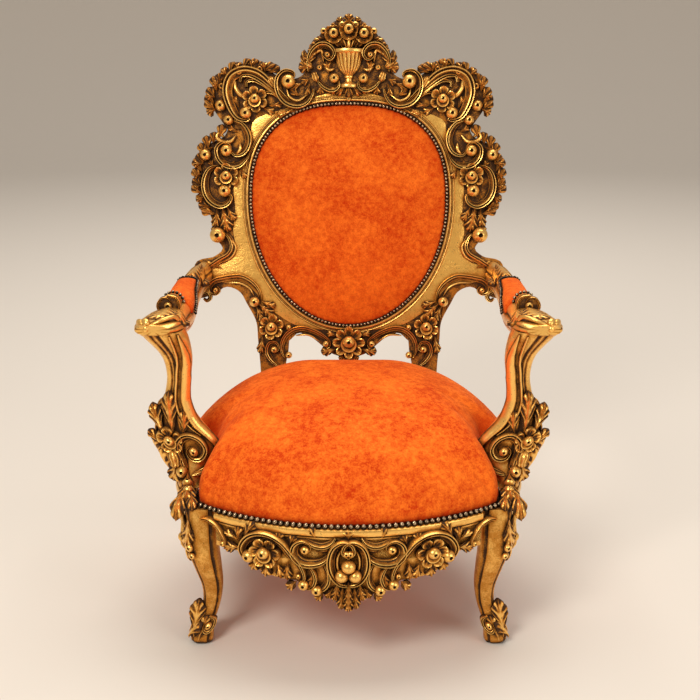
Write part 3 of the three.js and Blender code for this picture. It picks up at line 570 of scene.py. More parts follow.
# %% Petals, flowers and roses
def petal(at, turn, near, far, wide, tall):
    """One spoon-shaped petal with a hollow face, a rolled rim and a cleft tip."""
    t = np.linspace(0, 1, 12)[:, None]
    across = np.linspace(-1, 1, 13)[None, :]
    half = wide / 2 * (0.32 + 0.68 * np.sin(np.minimum(1, t / 0.62) * math.pi / 2))
    half = half * np.sqrt(1 - np.maximum(0, (t - 0.62) / 0.385) ** 2)
    cleft = -0.09 * far * np.exp(-((across / 0.22) ** 2)) * t**5
    r = near + (far - near) * t + cleft
    a = math.radians(turn)
    u = at[0] + math.cos(a) * r - math.sin(a) * half * across
    v = at[1] + math.sin(a) * r + math.cos(a) * half * across
    hollow = (1 - across**2) ** 1.4 * np.sin(math.pi * t) ** 0.8
    rib = np.exp(-((across / 0.12) ** 2)) * np.sin(math.pi * t)
    share = 0.5 + 0.42 * np.sin(t * math.pi * 0.62) - 0.34 * hollow + 0.1 * rib - 0.12 * across**6
    relief = np.clip(1 - 0.75 * hollow + 0.5 * rib - 0.5 * (1 - t) ** 2, 0, 1)
    return rooted(np.stack([u, v, tall * share, relief], -1))


def flower(at, radius, tall, petals=6, first=90):
    """Petals round a drilled fruit that sits on a small lip, with sepals between them."""
    forms = []
    for k in range(petals):
        turn = first + 360 * k / petals
        wide = radius * 1.9 * math.sin(math.pi / petals) * 0.72
        forms.append(petal(at, turn, radius * 0.3, radius, wide, tall))
        gap = math.radians(turn + 180 / petals)
        start = (at[0] + radius * 0.3 * math.cos(gap), at[1] + radius * 0.3 * math.sin(gap))
        forms.append(leaf(start, turn + 180 / petals, radius * 0.55, radius * 0.24, tall * 0.4, lobes=1))
    lip = [(0.4, 0.3, 0.2), (0.5, 0.75, 0.9), (0.47, 0.95, 1.0), (0.38, 0.95, 0.4), (0.02, 0.6, 0.1)]
    below = (at[0], at[1] - radius * 0.13)
    forms.append(turned([(radius * r, tall * w, relief) for r, w, relief in lip], below))
    seed = radius * 0.37
    return forms + [fruit((at[0], at[1] + radius * 0.05), seed, lift=0.86 * tall / seed)]


def rose(at, radius, tall, first=90):
    """A half-open rose: five broad petals round a hollow, lipped heart."""
    forms = []
    for k in range(5):
        forms.append(petal(at, first + 72 * k, radius * 0.15, radius, radius * 1.05, tall * 0.85))
    heart = [
        (0.44, 0.3, 0.3), (0.52, 0.8, 0.7), (0.47, 1.06, 1.0), (0.34, 1.16, 1.0), (0.2, 1.1, 0.7),
        (0.13, 0.95, 0.0), (0.02, 0.92, 0.0),
    ]
    above = (at[0], at[1] + radius * 0.12)
    return forms + [turned([(radius * r, tall * w, relief) for r, w, relief in heart], above)]


print("a flower of six petals is made of", len(flower((0, 0), 30, 20)), "forms")

# %% [markdown]
# A husk is a fluted bud that lies on its side. It fills the places where two scrolls part.

# %% Husks
def husk(at, turn, long, wide, tall, flutes=5):
    """A fluted bud lying on the ground, its open end towards turn degrees."""
    a = math.radians(turn)
    angle = np.linspace(0, 2 * math.pi, 32, endpoint=False)
    groove = 0.5 - 0.5 * np.cos(flutes * 2 * (angle - math.pi / 2))
    rings = []
    swells = (0.12, 0.5, 0.78, 0.95, 1.0, 0.96, 0.86, 0.8, 0.86, 0.6)
    for t, swell in zip(np.linspace(0, 1, 10), swells):
        r = wide / 2 * swell * (1 - 0.2 * groove * min(1, t * 3))
        s, w = r * np.cos(angle), tall * 0.42 + r * np.sin(angle) * tall / wide * 1.15
        u = at[0] + math.cos(a) * long * t - math.sin(a) * s
        v = at[1] + math.sin(a) * long * t + math.cos(a) * s
        rings.append(np.column_stack([u, v, w, np.clip(0.5 + 0.55 * np.sin(angle) - 0.8 * groove, 0, 1)]))
    return loft(rings)


print("motifs: scroll, leaf, fruit, petal, flower, rose, husk")

# %% [markdown]
# ## The back frame
# The back is a flat board, sawn to a wavy outline, with an oval opening for the velvet. The
# carver glued and cut the ornament on its face. Each part of the board is drawn as a filled
# outline with rounded edges: a 2D curve does this in one step, holes and all, and leaves
# clean edges. The joints between crest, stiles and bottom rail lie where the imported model
# has them.

# %% The oval of the back
OVAL_HALF, OVAL_WIDEST, OVAL_UP, OVAL_DOWN = 238, 840, 232, 305
NECK = 1010  # level of the joint between the crest and the stiles
STILE_JOINT = 142  # half width of the bottom rail


def oval_points(grow, angles):
    c, s = np.cos(angles), np.sin(angles)
    power = np.where(s > 0, 0.8, 1.0)
    reach = np.where(s > 0, OVAL_UP, OVAL_DOWN) + grow
    u = (OVAL_HALF + grow) * np.sign(c) * np.abs(c) ** power
    return np.column_stack([u, OVAL_WIDEST + reach * np.sign(s) * np.abs(s) ** power])


def even_oval(grow, count):
    """Points of the oval at even distances, and its length."""
    return even_ring(oval_points(grow, np.linspace(0, 2 * math.pi, 2001)), count)


print("the oval is", round(even_oval(0, 360)[1]), "mm round")

# %% [markdown]
# The outline is drawn for the left half only, as corners from the top of the crest down to the
# foot of the back and in to the middle under the oval. The hole's rim is cut at the levels of
# the joints, so that crest, stiles and bottom rail each get their own piece of it.

# %% The sawn outline
CREST_EDGE = [
    (0, 1262), (-36, 1246), (-66, 1206), (-98, 1172), (-108, 1142), (-132, 1130), (-168, 1136),
    (-204, 1158), (-250, 1158), (-296, 1136), (-326, 1104), (-328, 1066), (-306, 1030), (-292, NECK),
]
SIDE_EDGE = [
    (-300, 994), (-342, 972), (-368, 930), (-366, 884), (-350, 836), (-332, 790), (-324, 748),
    (-308, 724), (-330, 704), (-374, 690), (-374, 604), (-332, 612), (-300, 630), (-268, 618),
    (-250, 588), (-228, 544), (-224, 500), (-219, 440), (-213, 330), (-166, 330), (-156, 440),
    (-150, 470), (-148, 496), (-STILE_JOINT, 501),
]
ARCH_EDGE = [(-STILE_JOINT, 501), (-124, 516), (-96, 508), (-70, 488), (-44, 466), (0, 452)]
BACK_THICK = 26

rim = oval_points(-3, np.linspace(0, 2 * math.pi, 721)[:-1])
rim_top = rim[rim[:, 1] > NECK]  # from right to left
rim_left = rim[(rim[:, 0] < -STILE_JOINT) & (rim[:, 1] <= NECK)]  # downwards
rim_low = rim[(np.abs(rim[:, 0]) <= STILE_JOINT) & (rim[:, 1] < OVAL_WIDEST)]  # left to right


def flip_line(line):
    return [(-u, v) for u, v in reversed(line)]


print("crest", len(CREST_EDGE), "corners; stile", len(SIDE_EDGE), "corners")

# %% [markdown]
# A board could be a box with its corners cut away, but a filled curve is simpler: its outline
# may have any shape and a hole, and its bevel rounds the edges like a file does.

# %% Boards from outlines
def board(outline, low, high, relief=0.28, bevel=1.4, hole=()):
    """A board of that outline, from low to high out of the ground, its edges rounded."""
    curve = bpy.data.curves.new("outline", "CURVE")
    curve.dimensions, curve.fill_mode = "2D", "BOTH"
    for loop in filter(len, (outline, hole)):
        spline = curve.splines.new("POLY")
        spline.points.add(len(loop) - 1)
        for point, (u, v) in zip(spline.points, loop):
            point.co = (u, v, 0, 1)
        spline.use_cyclic_u = True
    curve.extrude = (high - low) / 2 - bevel
    curve.bevel_depth, curve.bevel_resolution, curve.offset = bevel, 2, -bevel
    holder = bpy.data.objects.new("outline", curve)
    bpy.context.scene.collection.objects.link(holder)
    bpy.context.view_layer.update()
    ready = holder.evaluated_get(bpy.context.evaluated_depsgraph_get())
    mesh = ready.to_mesh()
    skin = bmesh.new()
    skin.from_mesh(mesh)
    bmesh.ops.remove_doubles(skin, verts=skin.verts, dist=0.05)
    points = np.array([(*v.co, 0) for v in skin.verts])
    points[:, 2] += (low + high) / 2
    points[:, 3] = relief
    faces = [[v.index for v in face.verts] for face in skin.faces]
    skin.free()
    ready.to_mesh_clear()
    bpy.data.objects.remove(holder)
    return points, faces


def soften(line, step=9):
    """Points of a smooth line through the outline's corners."""
    return [tuple(p) for p in smooth_line(line, max(4, int(line_length(line) / step)))]


crest_left = soften(CREST_EDGE)
crest_outline = crest_left[::-1] + [(-u, v) for u, v in crest_left[1:]]
crest_board = board(crest_outline + [tuple(p) for p in rim_top], -BACK_THICK, 0)
stile_left = soften([(-292, NECK), *SIDE_EDGE[:18]]) + SIDE_EDGE[18:]
stile_board = board(stile_left + [tuple(p) for p in rim_left[::-1]], -BACK_THICK, 0)
arch = soften(ARCH_EDGE)
low_board = board(arch + flip_line(arch)[1:] + [tuple(p) for p in rim_low[::-1]], -BACK_THICK, 0)
print("boards cut for the crest, the stiles and the bottom rail")

# %% [markdown]
# Between the carving and the oval the gold is plain. A thin raised field lies there, with a
# hole for the moulding, so that this gold can be brighter than the ground of the carving.

# %% The plain field
FIELD_EDGE = [  # the plain field's outer edge, from the middle of the top to that of the bottom
    (0, 1098), (-60, 1094), (-120, 1070), (-150, 1060), (-200, 1046), (-230, 1030), (-236, 1000),
    (-240, 960), (-250, 930), (-272, 905), (-280, 860), (-276, 820), (-282, 770), (-278, 724),
    (-296, 692), (-345, 676), (-352, 655), (-300, 640), (-262, 640), (-225, 612), (-212, 582),
    (-180, 565), (-150, 545), (-120, 532), (-60, 524), (0, 522),
]
field_left = soften(FIELD_EDGE, step=12)
field_rim = [tuple(p) for p in oval_points(6, np.linspace(0, 2 * math.pi, 361)[:-1])]
field = board(field_left + flip_line(field_left)[1:-1], -2, 1.2, relief=0.7, bevel=0.5, hole=field_rim)
make_piece("plain_field", placed([field], on_back), plain_gold, "gilded_wood")

# %% [markdown]
# ## Carving of the crest
# The crest carries a fluted urn with a bouquet, and on each side a pair of volutes, an open
# scroll round a fruit, and a shoulder scroll that wraps round a flower and three curled
# fronds. Notched leaves stand along its upper edge. Only the left half is drawn. The right
# half is its mirror image, as a carver would transfer it with a pricked pattern.

# %% Crest scrolls, fruits and flowers
crest_half = [
    scroll([(-250, 1040), (-243, 1034), (-265, 1039), (-281, 1062), (-291, 1102), (-280, 1134),
            (-252, 1147), (-218, 1140), (-183, 1111), (-142, 1075)], 25, 22, (0.5, 0.32)),
    scroll([(-262, 1122), (-258, 1137), (-238, 1140), (-214, 1130), (-186, 1109), (-150, 1080)], 18, 17,
           (0.5, 0.3), flip=True),
    scroll([(-246, 1110), (-246, 1123), (-228, 1128), (-207, 1120), (-180, 1101), (-148, 1077)], 16, 15,
           (0.5, 0.3), flip=True),
    scroll([(-209, 1089), (-200, 1099), (-180, 1098), (-147, 1073)], 15, 14, (0.5, 0.3), flip=True),
    scroll([(-236, 1086), (-258, 1091), (-271, 1108), (-272, 1124)], 12, 13, (0.5, 0.4), section=ROUNDED),
    scroll([(-136, 1130), (-133, 1142), (-152, 1146), (-168, 1130), (-167, 1098), (-150, 1075),
            (-123, 1067), (-102, 1074), (-88, 1095), (-86, 1106)], 18, 22, (0.45, 0.4)),
    scroll([(-149, 1110), (-143, 1088), (-122, 1078), (-100, 1092)], 8, 12, (0.4, 0.4), section=ROUNDED),
    scroll([(-52, 1179), (-62, 1188), (-46, 1176), (-37, 1188), (-48, 1204), (-68, 1207), (-86, 1193),
            (-95, 1172), (-95, 1146)], 15, 24, (0.4, 0.4)),
    scroll([(-84, 1186), (-66, 1196), (-60, 1170)], 8, 10, (0.4, 0.4), section=ROUNDED),
    scroll([(-26, 1124), (-26, 1112), (-40, 1104), (-58, 1110), (-76, 1128)], 15, 18, (0.5, 0.3)),
    scroll([(-58, 1158), (-46, 1150), (-34, 1154)], 9, 12, (0.4, 0.3), section=ROUNDED),
    fruit((-248, 1049), 14.5, 0.62), fruit((-145, 1123), 17, 0.7), fruit((-308, 1067), 13.5, 0.6),
    fruit((-289, 1033), 12.5, 0.6), fruit((-51, 1185), 7.5, 1.7), fruit((-35, 1131), 12, 0.7),
    fruit((-70, 1156), 7, 0.8),
    *flower((-225, 1081), 31, 21, first=96),
    leaf((-262, 1060), 118, 34, 15, 10, lobes=2), leaf((-206, 1062), 335, 30, 18, 9, lobes=2),
    leaf((-192, 1066), 8, 34, 16, 8, lobes=2), leaf((-180, 1052), 318, 22, 15, 8, lobes=1),
    husk((-172, 1046), 20, 22, 17, 13), leaf((-152, 1052), 8, 34, 9, 8, lobes=1),
    husk((-192, 1136), 300, 30, 24, 20), leaf((-178, 1124), 20, 30, 18, 12, lobes=2),
    leaf((-300, 1092), 250, 34, 16, 10, lobes=2), leaf((-306, 1108), 100, 30, 14, 9, lobes=2),
    leaf((-112, 1118), 200, 34, 16, 15, bend=40, lobes=1),
    leaf((-118, 1090), 150, 26, 16, 13, bend=-30, lobes=1), husk((-87, 1155), 150, 24, 19, 18, flutes=3),
    husk((-76, 1122), 110, 24, 18, 15, flutes=3), leaf((-92, 1120), 250, 34, 16, 10, bend=40, lobes=2),
    leaf((-66, 1122), 265, 30, 18, 10, lobes=2), leaf((-94, 1130), 210, 24, 15, 10, lobes=1),
    leaf((-48, 1142), 100, 30, 20, 14, lobes=2), leaf((-104, 1142), 74, 64, 19, 15, bend=-28, lobes=3),
    leaf((-108, 1140), 88, 58, 16, 12, lobes=3), leaf((-98, 1176), 62, 44, 20, 14, bend=-10, lobes=3),
    leaf((-60, 1206), 20, 46, 15, 16, bend=-70, lobes=2),
    leaf((-46, 1200), 70, 34, 14, 10, bend=-40, lobes=2),
]
crest_half += rose((-36, 1232), 22, 27, first=60) + [
    scroll([(-6, 1203), (-12, 1218), (-24, 1230)], 7, 14, (0.8, 0.8), section=ROUNDED),
    scroll([(-14, 1203), (-24, 1219), (-44, 1223), (-66, 1212), (-76, 1196)], 8, 15, (0.6, 0.5),
           flip=True),
    leaf((-52, 1226), 196, 34, 17, 16, bend=30, lobes=2), leaf((-58, 1218), 218, 30, 14, 14, lobes=2),
    fruit((-60, 1240), 8, 1.4, hole=0.4), fruit((-16, 1254), 9, 1.6, hole=0.4),
]
SHOULDER = [(-318, 1044), (-320, 1090), (-292, 1130), (-244, 1150), (-186, 1142)]
crest_half += leaf_row(SHOULDER, 13, 34, 20, 15, turn_by=-52)
crest_half += leaf_row(SHOULDER, 7, 22, 20, 19, turn_by=20, lobes=2)
crest_half += [fruit(at, 8, 1.3, hole=0.45) for at in ((-212, 1152), (-262, 1146), (-304, 1112))]
crest_half += leaf_row([(-98, 1150), (-84, 1182), (-60, 1210), (-38, 1234), (-12, 1246)], 7, 24, 22, 15,
                       turn_by=30)
print("half of the crest has", len(crest_half), "carved forms")

# %% The urn, its bouquet and the leaves under it
def fluted_urn():
    """Half of a fluted bowl on a foot, standing out of the crest."""
    profile = [
        (3, 1109, 0), (22, 1109, 0), (23, 1112, 0), (22, 1116, 0), (17, 1119, 0), (9, 1123, 0),
        (8, 1130, 0), (11, 1133, 0), (11, 1136, 0), (9, 1138, 0), (14, 1142, 1), (21, 1149, 1),
        (27, 1160, 1), (31, 1174, 1), (34, 1186, 1), (35, 1189, 0), (40, 1191, 0), (41, 1194, 0),
        (40, 1198, 0), (36, 1199, 0), (3, 1199, 0),
    ]
    angle = np.linspace(0, 2 * math.pi, 160, endpoint=False)
    rings = []
    for radius, v, fluted in profile:
        groove = np.abs(np.sin(9 * angle)) ** 0.7
        r = radius * (1 - fluted * 0.15 * (1 - groove))
        relief = np.clip(0.95 - fluted * 0.9 * (1 - groove), 0, 1) if fluted else np.full(160, 0.95)
        u, w = r * np.cos(angle), r * np.sin(angle) * 0.8 + 2
        rings.append(np.column_stack([u, np.full(160, v), w, relief]))
    return loft(rings)


print("an urn with 18 flutes")

# %% [markdown]
# A rose with two more behind it fills the urn, and leaves spread from its lip and its foot.
# With them the crest's carving is complete, and goes onto the raked plane of the back.

# %% The crest
crest_middle = [
    fluted_urn(),
    *rose((0, 1241), 23, 31, first=90),
    leaf((0, 1250), 90, 32, 22, 20), leaf((-10, 1248), 122, 30, 18, 18), leaf((10, 1248), 58, 30, 18, 18),
    scroll([(0, 1197), (0, 1212), (0.5, 1228)], 12, 17, (0.9, 0.9), section=ROUNDED),
    leaf((-8, 1204), 128, 36, 16, 18, bend=-40), leaf((8, 1204), 52, 36, 16, 18, bend=40),
    leaf((-20, 1203), 112, 30, 13, 12, bend=-30), leaf((20, 1203), 68, 30, 13, 12, bend=30),
    leaf((0, 1122), 270, 38, 17, 17, lobes=1), leaf((-6, 1120), 236, 38, 17, 15, bend=-34, lobes=2),
    leaf((6, 1120), 304, 38, 17, 15, bend=34, lobes=2),
    leaf((-10, 1118), 212, 42, 17, 13, bend=-20, lobes=2),
    leaf((10, 1118), 328, 42, 17, 13, bend=20, lobes=2), fruit((0, 1082), 6, 0.9),
]
make_piece(
    "crest_carving", placed([crest_board, *both_sides(crest_half), *crest_middle], on_back), old_gold,
    "gilded_wood", "crest_rail",
)

# %% [markdown]
# ## Carving of the stiles and of the rail under the oval
# Each stile carries two hooked scrolls, a big C scroll round a flower, a leaf that drops
# from it, and a wavy moulding that swells out to meet the arm. Below the arm the moulding
# returns, ends in a fruit, and a flower marks the corner under the oval. A rosette hangs in
# the middle of the lower rail, between two arched mouldings.

# %% Stiles
stile_half = [
    scroll([(-277, 1030), (-258, 1022), (-244, 1001), (-242, 978), (-254, 956), (-273, 950), (-286, 962)],
           17, 19),
    scroll([(-288, 952), (-288, 968), (-301, 977), (-315, 965), (-312, 942), (-293, 925), (-266, 925),
            (-247, 942), (-239, 962)], 17, 20),
    scroll([(-302, 992), (-312, 1002), (-318, 992), (-305, 981), (-286, 981), (-272, 996)], 11, 15,
           section=ROUNDED),
    scroll([(-298, 858), (-287, 850), (-292, 836), (-311, 828), (-335, 841), (-347, 865), (-346, 894),
            (-334, 916), (-308, 924)], 18, 21),
    scroll([(-272, 950), (-262, 962), (-262, 978)], 10, 12, section=ROUNDED),
    scroll([(-303, 764), (-290, 750), (-283, 728), (-291, 710), (-317, 694), (-346, 676), (-372, 668)],
           15, 13, (0.4, 0.9), flip=True),
    scroll([(-292, 752), (-276, 728), (-284, 706), (-306, 690)], 6, 8, (0.3, 0.3), section=ROUNDED),
    scroll([(-324, 630), (-318, 622), (-326, 614), (-339, 618), (-341, 632), (-328, 645), (-310, 650),
            (-286, 654), (-262, 654), (-238, 641), (-221, 620), (-215, 596)], 15, 13, (0.5, 0.4)),
    scroll([(-372, 616), (-358, 620), (-346, 616), (-340, 604), (-348, 596), (-356, 602)], 11, 12,
           (0.8, 0.4)),
    fruit((-326, 622), 7, 1.0),
    scroll([(-300, 640), (-268, 640), (-244, 628), (-232, 608)], 6, 8, (0.3, 0.3), section=ROUNDED),
    scroll([(-185, 468), (-175, 478), (-180, 491), (-194, 490), (-200, 470), (-190, 450), (-170, 432)],
           13, 14),
    fruit((-295, 960), 14, 0.9), fruit((-346, 950), 14, 0.7), fruit((-301, 864), 15, 0.8),
    fruit((-319, 757), 19, 0.6), fruit((-231, 594), 12.5, 0.8), fruit((-184, 476), 9, 0.8),
    fruit((-148, 530), 7, 0.8),
    *flower((-296, 899), 31, 22, first=90), *flower((-190, 532), 31, 20, first=80),
    leaf((-308, 826), 284, 64, 30, 16, bend=-8, lobes=4),
    leaf((-320, 824), 268, 52, 22, 13, bend=-16, lobes=3),
    leaf((-296, 826), 296, 40, 20, 12, bend=10, lobes=3),
    leaf((-318, 790), 250, 30, 18, 11, bend=-20, lobes=2),
    leaf((-332, 742), 66, 32, 16, 12, bend=30, lobes=1),
    leaf((-222, 590), 318, 52, 26, 15, bend=-14, lobes=4),
    leaf((-230, 586), 300, 46, 20, 12, bend=-20, lobes=3),
    leaf((-216, 596), 336, 40, 18, 12, bend=16, lobes=3), leaf((-212, 508), 262, 44, 20, 9, lobes=3),
    leaf((-310, 676), 160, 44, 15, 9, bend=20, lobes=2), leaf((-340, 650), 176, 34, 22, 11, lobes=2),
    leaf((-336, 640), 200, 34, 15, 9, lobes=1), leaf((-268, 1004), 150, 26, 15, 10, lobes=2),
    leaf((-276, 938), 252, 22, 13, 9, lobes=1), leaf((-262, 916), 300, 26, 15, 10, lobes=2),
    leaf((-326, 968), 200, 30, 16, 12, lobes=2), leaf((-324, 916), 120, 24, 14, 12, lobes=2),
]
FLANK = [(-318, 800), (-344, 840), (-356, 884), (-352, 926), (-336, 966), (-306, 992)]
stile_half += leaf_row(FLANK, 12, 34, 20, 15, turn_by=-52)
stile_half += leaf_row(FLANK[1:5], 5, 22, 20, 19, turn_by=20, lobes=2)
print("half of the stiles' carving has", len(stile_half), "forms")

# %% [markdown]
# ## Posts
# Legs, supports and arms are bars whose section changes along their length. Their section is a
# rounded square: rounder than a box, fuller than a turned rod. Grooves are cut into it before
# it is lofted, so that they run the whole length as a moulding plane would cut them.

# %% Rounded posts with grooves
def rounded_square(sides, power, grooves):
    """Directions round a bar, how far its rounded square reaches in each, and how deep its
    grooves are there. A groove is (direction in degrees, width in degrees, depth)."""
    angle = np.linspace(0, 2 * math.pi, sides, endpoint=False)
    c, s = np.cos(angle), np.sin(angle)
    cut = np.zeros(sides)
    for at, wide, deep in grooves:
        cut += deep * np.exp(-((((np.degrees(angle) - at + 180) % 360 - 180) / wide) ** 2))
    return c, s, (np.abs(c) ** power + np.abs(s) ** power) ** (-1 / power), cut


def rounded_post(rows, count, sides=44, grooves=(), power=2.8, tone=0.8):
    """A carved post through rows of (height, x, y, half width, half depth)."""
    line = smooth_line(rows, count)
    c, s, corner, cut = rounded_square(sides, power, grooves)
    rings = []
    for z, x, y, half_wide, half_deep in line:
        px, py = x + (half_wide * corner - cut) * c, y + (half_deep * corner - cut) * s
        relief = np.clip(tone - cut * 0.3, 0, 1)
        rings.append(np.column_stack([px, py, np.full(sides, z), relief]))
    return loft(rings)


print("a post can have grooves of any width and depth")

# %% [markdown]
# A stile runs on below the seat as a rear leg, in one piece of wood. The leg sweeps back, so
# that the chair can't tip when somebody leans against its back.

# %% Stiles with their rear legs
REAR_LEG = [
    (0, -228, 650, 20, 20), (10, -228, 648, 23, 23), (90, -219, 618, 21, 21), (190, -202, 586, 23, 22),
    (270, -192, 573, 24, 18), (360, -190, 580, 24, 14),
]
rear_leg = rounded_post(REAR_LEG, 60, grooves=[(270, 7, 2), (180, 7, 2)])
stile_forms = placed([stile_board, *stile_half], on_back) + [rear_leg]
make_piece("stile_left_carving", stile_forms, old_gold, "gilded_wood", "back_stile_left")
make_piece("stile_right_carving", mirrored(stile_forms), old_gold, "gilded_wood", "back_stile_right")

# %% The rail under the oval
low_half = [
    scroll([(-58, 486), (-51, 482), (-49, 494), (-63, 508), (-85, 520), (-114, 528), (-140, 522),
            (-159, 503), (-165, 478), (-157, 458), (-146, 456)], 13, 13),
    fruit((-148, 462), 8.5, 0.9), fruit((-56, 490), 8, 1.0),
    scroll([(-72, 496), (-100, 512), (-130, 510)], 6, 9, (0.3, 0.3), section=ROUNDED),
    leaf((-30, 478), 196, 40, 22, 13, bend=-20, lobes=3),
    leaf((-26, 508), 160, 30, 16, 11, bend=20, lobes=2),
]
low_middle = [
    *flower((0, 494), 40, 23, petals=8, first=90), leaf((0, 474), 270, 34, 26, 17, lobes=3),
    leaf((-8, 474), 244, 30, 15, 13, lobes=2), leaf((8, 474), 296, 30, 15, 13, lobes=2),
]
make_piece(
    "lower_rail_carving", placed([low_board, *both_sides(low_half), *low_middle], on_back), old_gold,
    "gilded_wood", "back_bottom_rail",
)

# %% [markdown]
# ## Moulding and nails round the oval
# A fine bead and a shallow hollow frame the velvet, and a row of domed nails holds it. The
# moulding is one section carried round the oval. Every nail is its own dome, because the
# light on each head is what makes such a row sparkle.

# %% Oval moulding
def moulding_round(line, section, ground):
    """A closed moulding. The section gives (distance outside the line, height, relief)."""
    rings = []
    for point, side in zip(line, outwards(line)):
        rings.append([(*(point + side * far), w, relief) for far, w, relief in section])
    points, faces = loft(rings, closed=True)
    return ground(points), faces


oval_line, oval_length = even_oval(0, 360)
OVAL_SECTION = [
    (5.2, -3, 0), (5.2, 2.2, 0.3), (6.2, 4.6, 0.8), (8, 5.8, 1), (10, 5.6, 1), (11.6, 4, 0.6),
    (12.4, 1.6, 0.05), (14, 0.9, 0.0), (15.2, 1.6, 0.2), (16.2, 3, 0.8), (17.6, 3.4, 1), (19, 2.6, 0.8),
    (20, 1, 0.4), (20.4, -3, 0),
]
oval_moulding = [moulding_round(oval_line, OVAL_SECTION, on_back)]
make_piece("oval_moulding", oval_moulding, old_gold, "gilded_wood")

# %% [markdown]
# The nails are brass, dark with age. The crown of each head is lighter in colour: partly rubbed bright,
# partly a painted highlight.

# %% Domed nails
def aged_metal():
    material, tree, shader = new_material("aged_nails_with_highlights")
    height = node(tree, "Attribute", attribute_name="relief").outputs["Fac"]
    crown = sums(tree, "ADD", height, fade(tree, cloud(tree, 9), 0.3, 0.7, -0.25, 0.25))
    # the light crown colour is partly rubbed brass and partly a painted highlight
    dark, rubbed_and_highlight = (0.012, 0.009, 0.007, 1), (0.42, 0.3, 0.18, 1)
    tone = blend_colour(tree, fade(tree, crown, 0.35, 1.0), dark, rubbed_and_highlight)
    tree.links.new(tone, shader.inputs["Base Color"])
    tree.links.new(fade(tree, crown, 0.3, 1.0, 0.5, 0.22), shader.inputs["Roughness"])
    shader.inputs["Metallic"].default_value = 0.9
    texture_skin(tree, shader, cloud(tree, 1.5, detail=2), 0.25, 0.0004)
    return material


aged_brass = aged_metal()
print("material:", aged_brass.name)

# %% [markdown]
# One function makes a nail head: a low dome, turned round the axis in which the nail is
# driven. The same function serves the back, the seat and the arms.

# %% Nail heads
# Down a head from its rim to its crown: share of the radius, and height as a share of it.
HEAD = [(0.98, -0.5), (1.0, 0.0), (0.93, 0.3), (0.74, 0.6), (0.42, 0.82), (0.1, 0.9)]


def stud(centre, axis, radius, sides=12):
    """One domed nail head at a bench point, facing along its axis."""
    axis = np.array(axis, float) / np.linalg.norm(axis)
    across = np.cross(axis, (0.3, 0.9, 0.1))
    across /= np.linalg.norm(across)
    up = np.cross(axis, across)
    angle = np.linspace(0, 2 * math.pi, sides, endpoint=False)[:, None]
    rings = []
    for share, height in HEAD:
        ring = centre + radius * (share * (across * np.cos(angle) + up * np.sin(angle)) + axis * height)
        rings.append(np.column_stack([ring, np.full(sides, max(0, height) * 1.1)]))
    return loft(rings)


BACK_AXIS = (0, -math.cos(RAKE), math.sin(RAKE))
BACK_PITCH, BACK_HEAD = 8.8, 4.25  # from nail to nail, and the radius of a head
nail_line, _ = even_oval(0, int(oval_length / BACK_PITCH))
nail_places = on_back(np.array([(*place, 2.8, 1) for place in nail_line]))
back_studs = [stud(place[:3], BACK_AXIS, BACK_HEAD) for place in nail_places]
make_piece("back_nail_row", back_studs, aged_brass, "nails", "back_nails")

# %% [markdown]
# ## The front rail
# The front rail bows forward between the legs. Its carving hangs below it as an apron: an
# open heart with three fruits and a drooping palm leaf in the middle, and on each side a big
# scroll round a flower. The rail and the apron's ground are lofted along the bow, and the
# same motifs as on the back are bent round it.

# %% Rail, apron and bead
LEG_ZONE = 284
APRON_EDGE = [
    (0, 138), (14, 142), (26, 158), (48, 166), (62, 176), (88, 178), (104, 194), (134, 194),
    (172, 200), (206, 216), (222, 242), (LEG_ZONE, 246),
]
stations = np.linspace(-LEG_ZONE, LEG_ZONE, 150)  # where the rail is measured along the bow
apron_low = np.interp(np.abs(stations), *np.array(APRON_EDGE).T)


def along_bow(low, back, front, high, soft=2.5):
    """A bar along the bow with rounded front edges."""
    rings = []
    for u, z in zip(stations, low):
        section = [
            (z, back), (z, front - soft), (z + soft * 0.3, front - soft * 0.3), (z + soft, front),
            (high - soft, front), (high - soft * 0.3, front - soft * 0.3), (high, front - soft),
            (high, back),
        ]
        rings.append([(u, v, w, 0.75) for v, w in section])
    return loft(rings)


rail_low = np.full_like(stations, 237)
apron_forms = [
    along_bow(rail_low, -34, 0, RAIL_TOP), along_bow(apron_low, -20, 0, RAIL_TOP - 14),
    along_bow(np.full_like(stations, RAIL_TOP - 15), -4, 6, RAIL_TOP, soft=3.5),
    along_bow(np.full_like(stations, RAIL_TOP - 22), -4, 2.5, RAIL_TOP - 17.5, soft=1.5),
]
print("the apron hangs down to", round(apron_low.min()), "mm above the floor")

# %% [markdown]
# The carving of the apron is drawn flat, like that of the back, and then bent round the bow.
# The middle leaf hangs over the lower edge and covers the joint of the two halves.

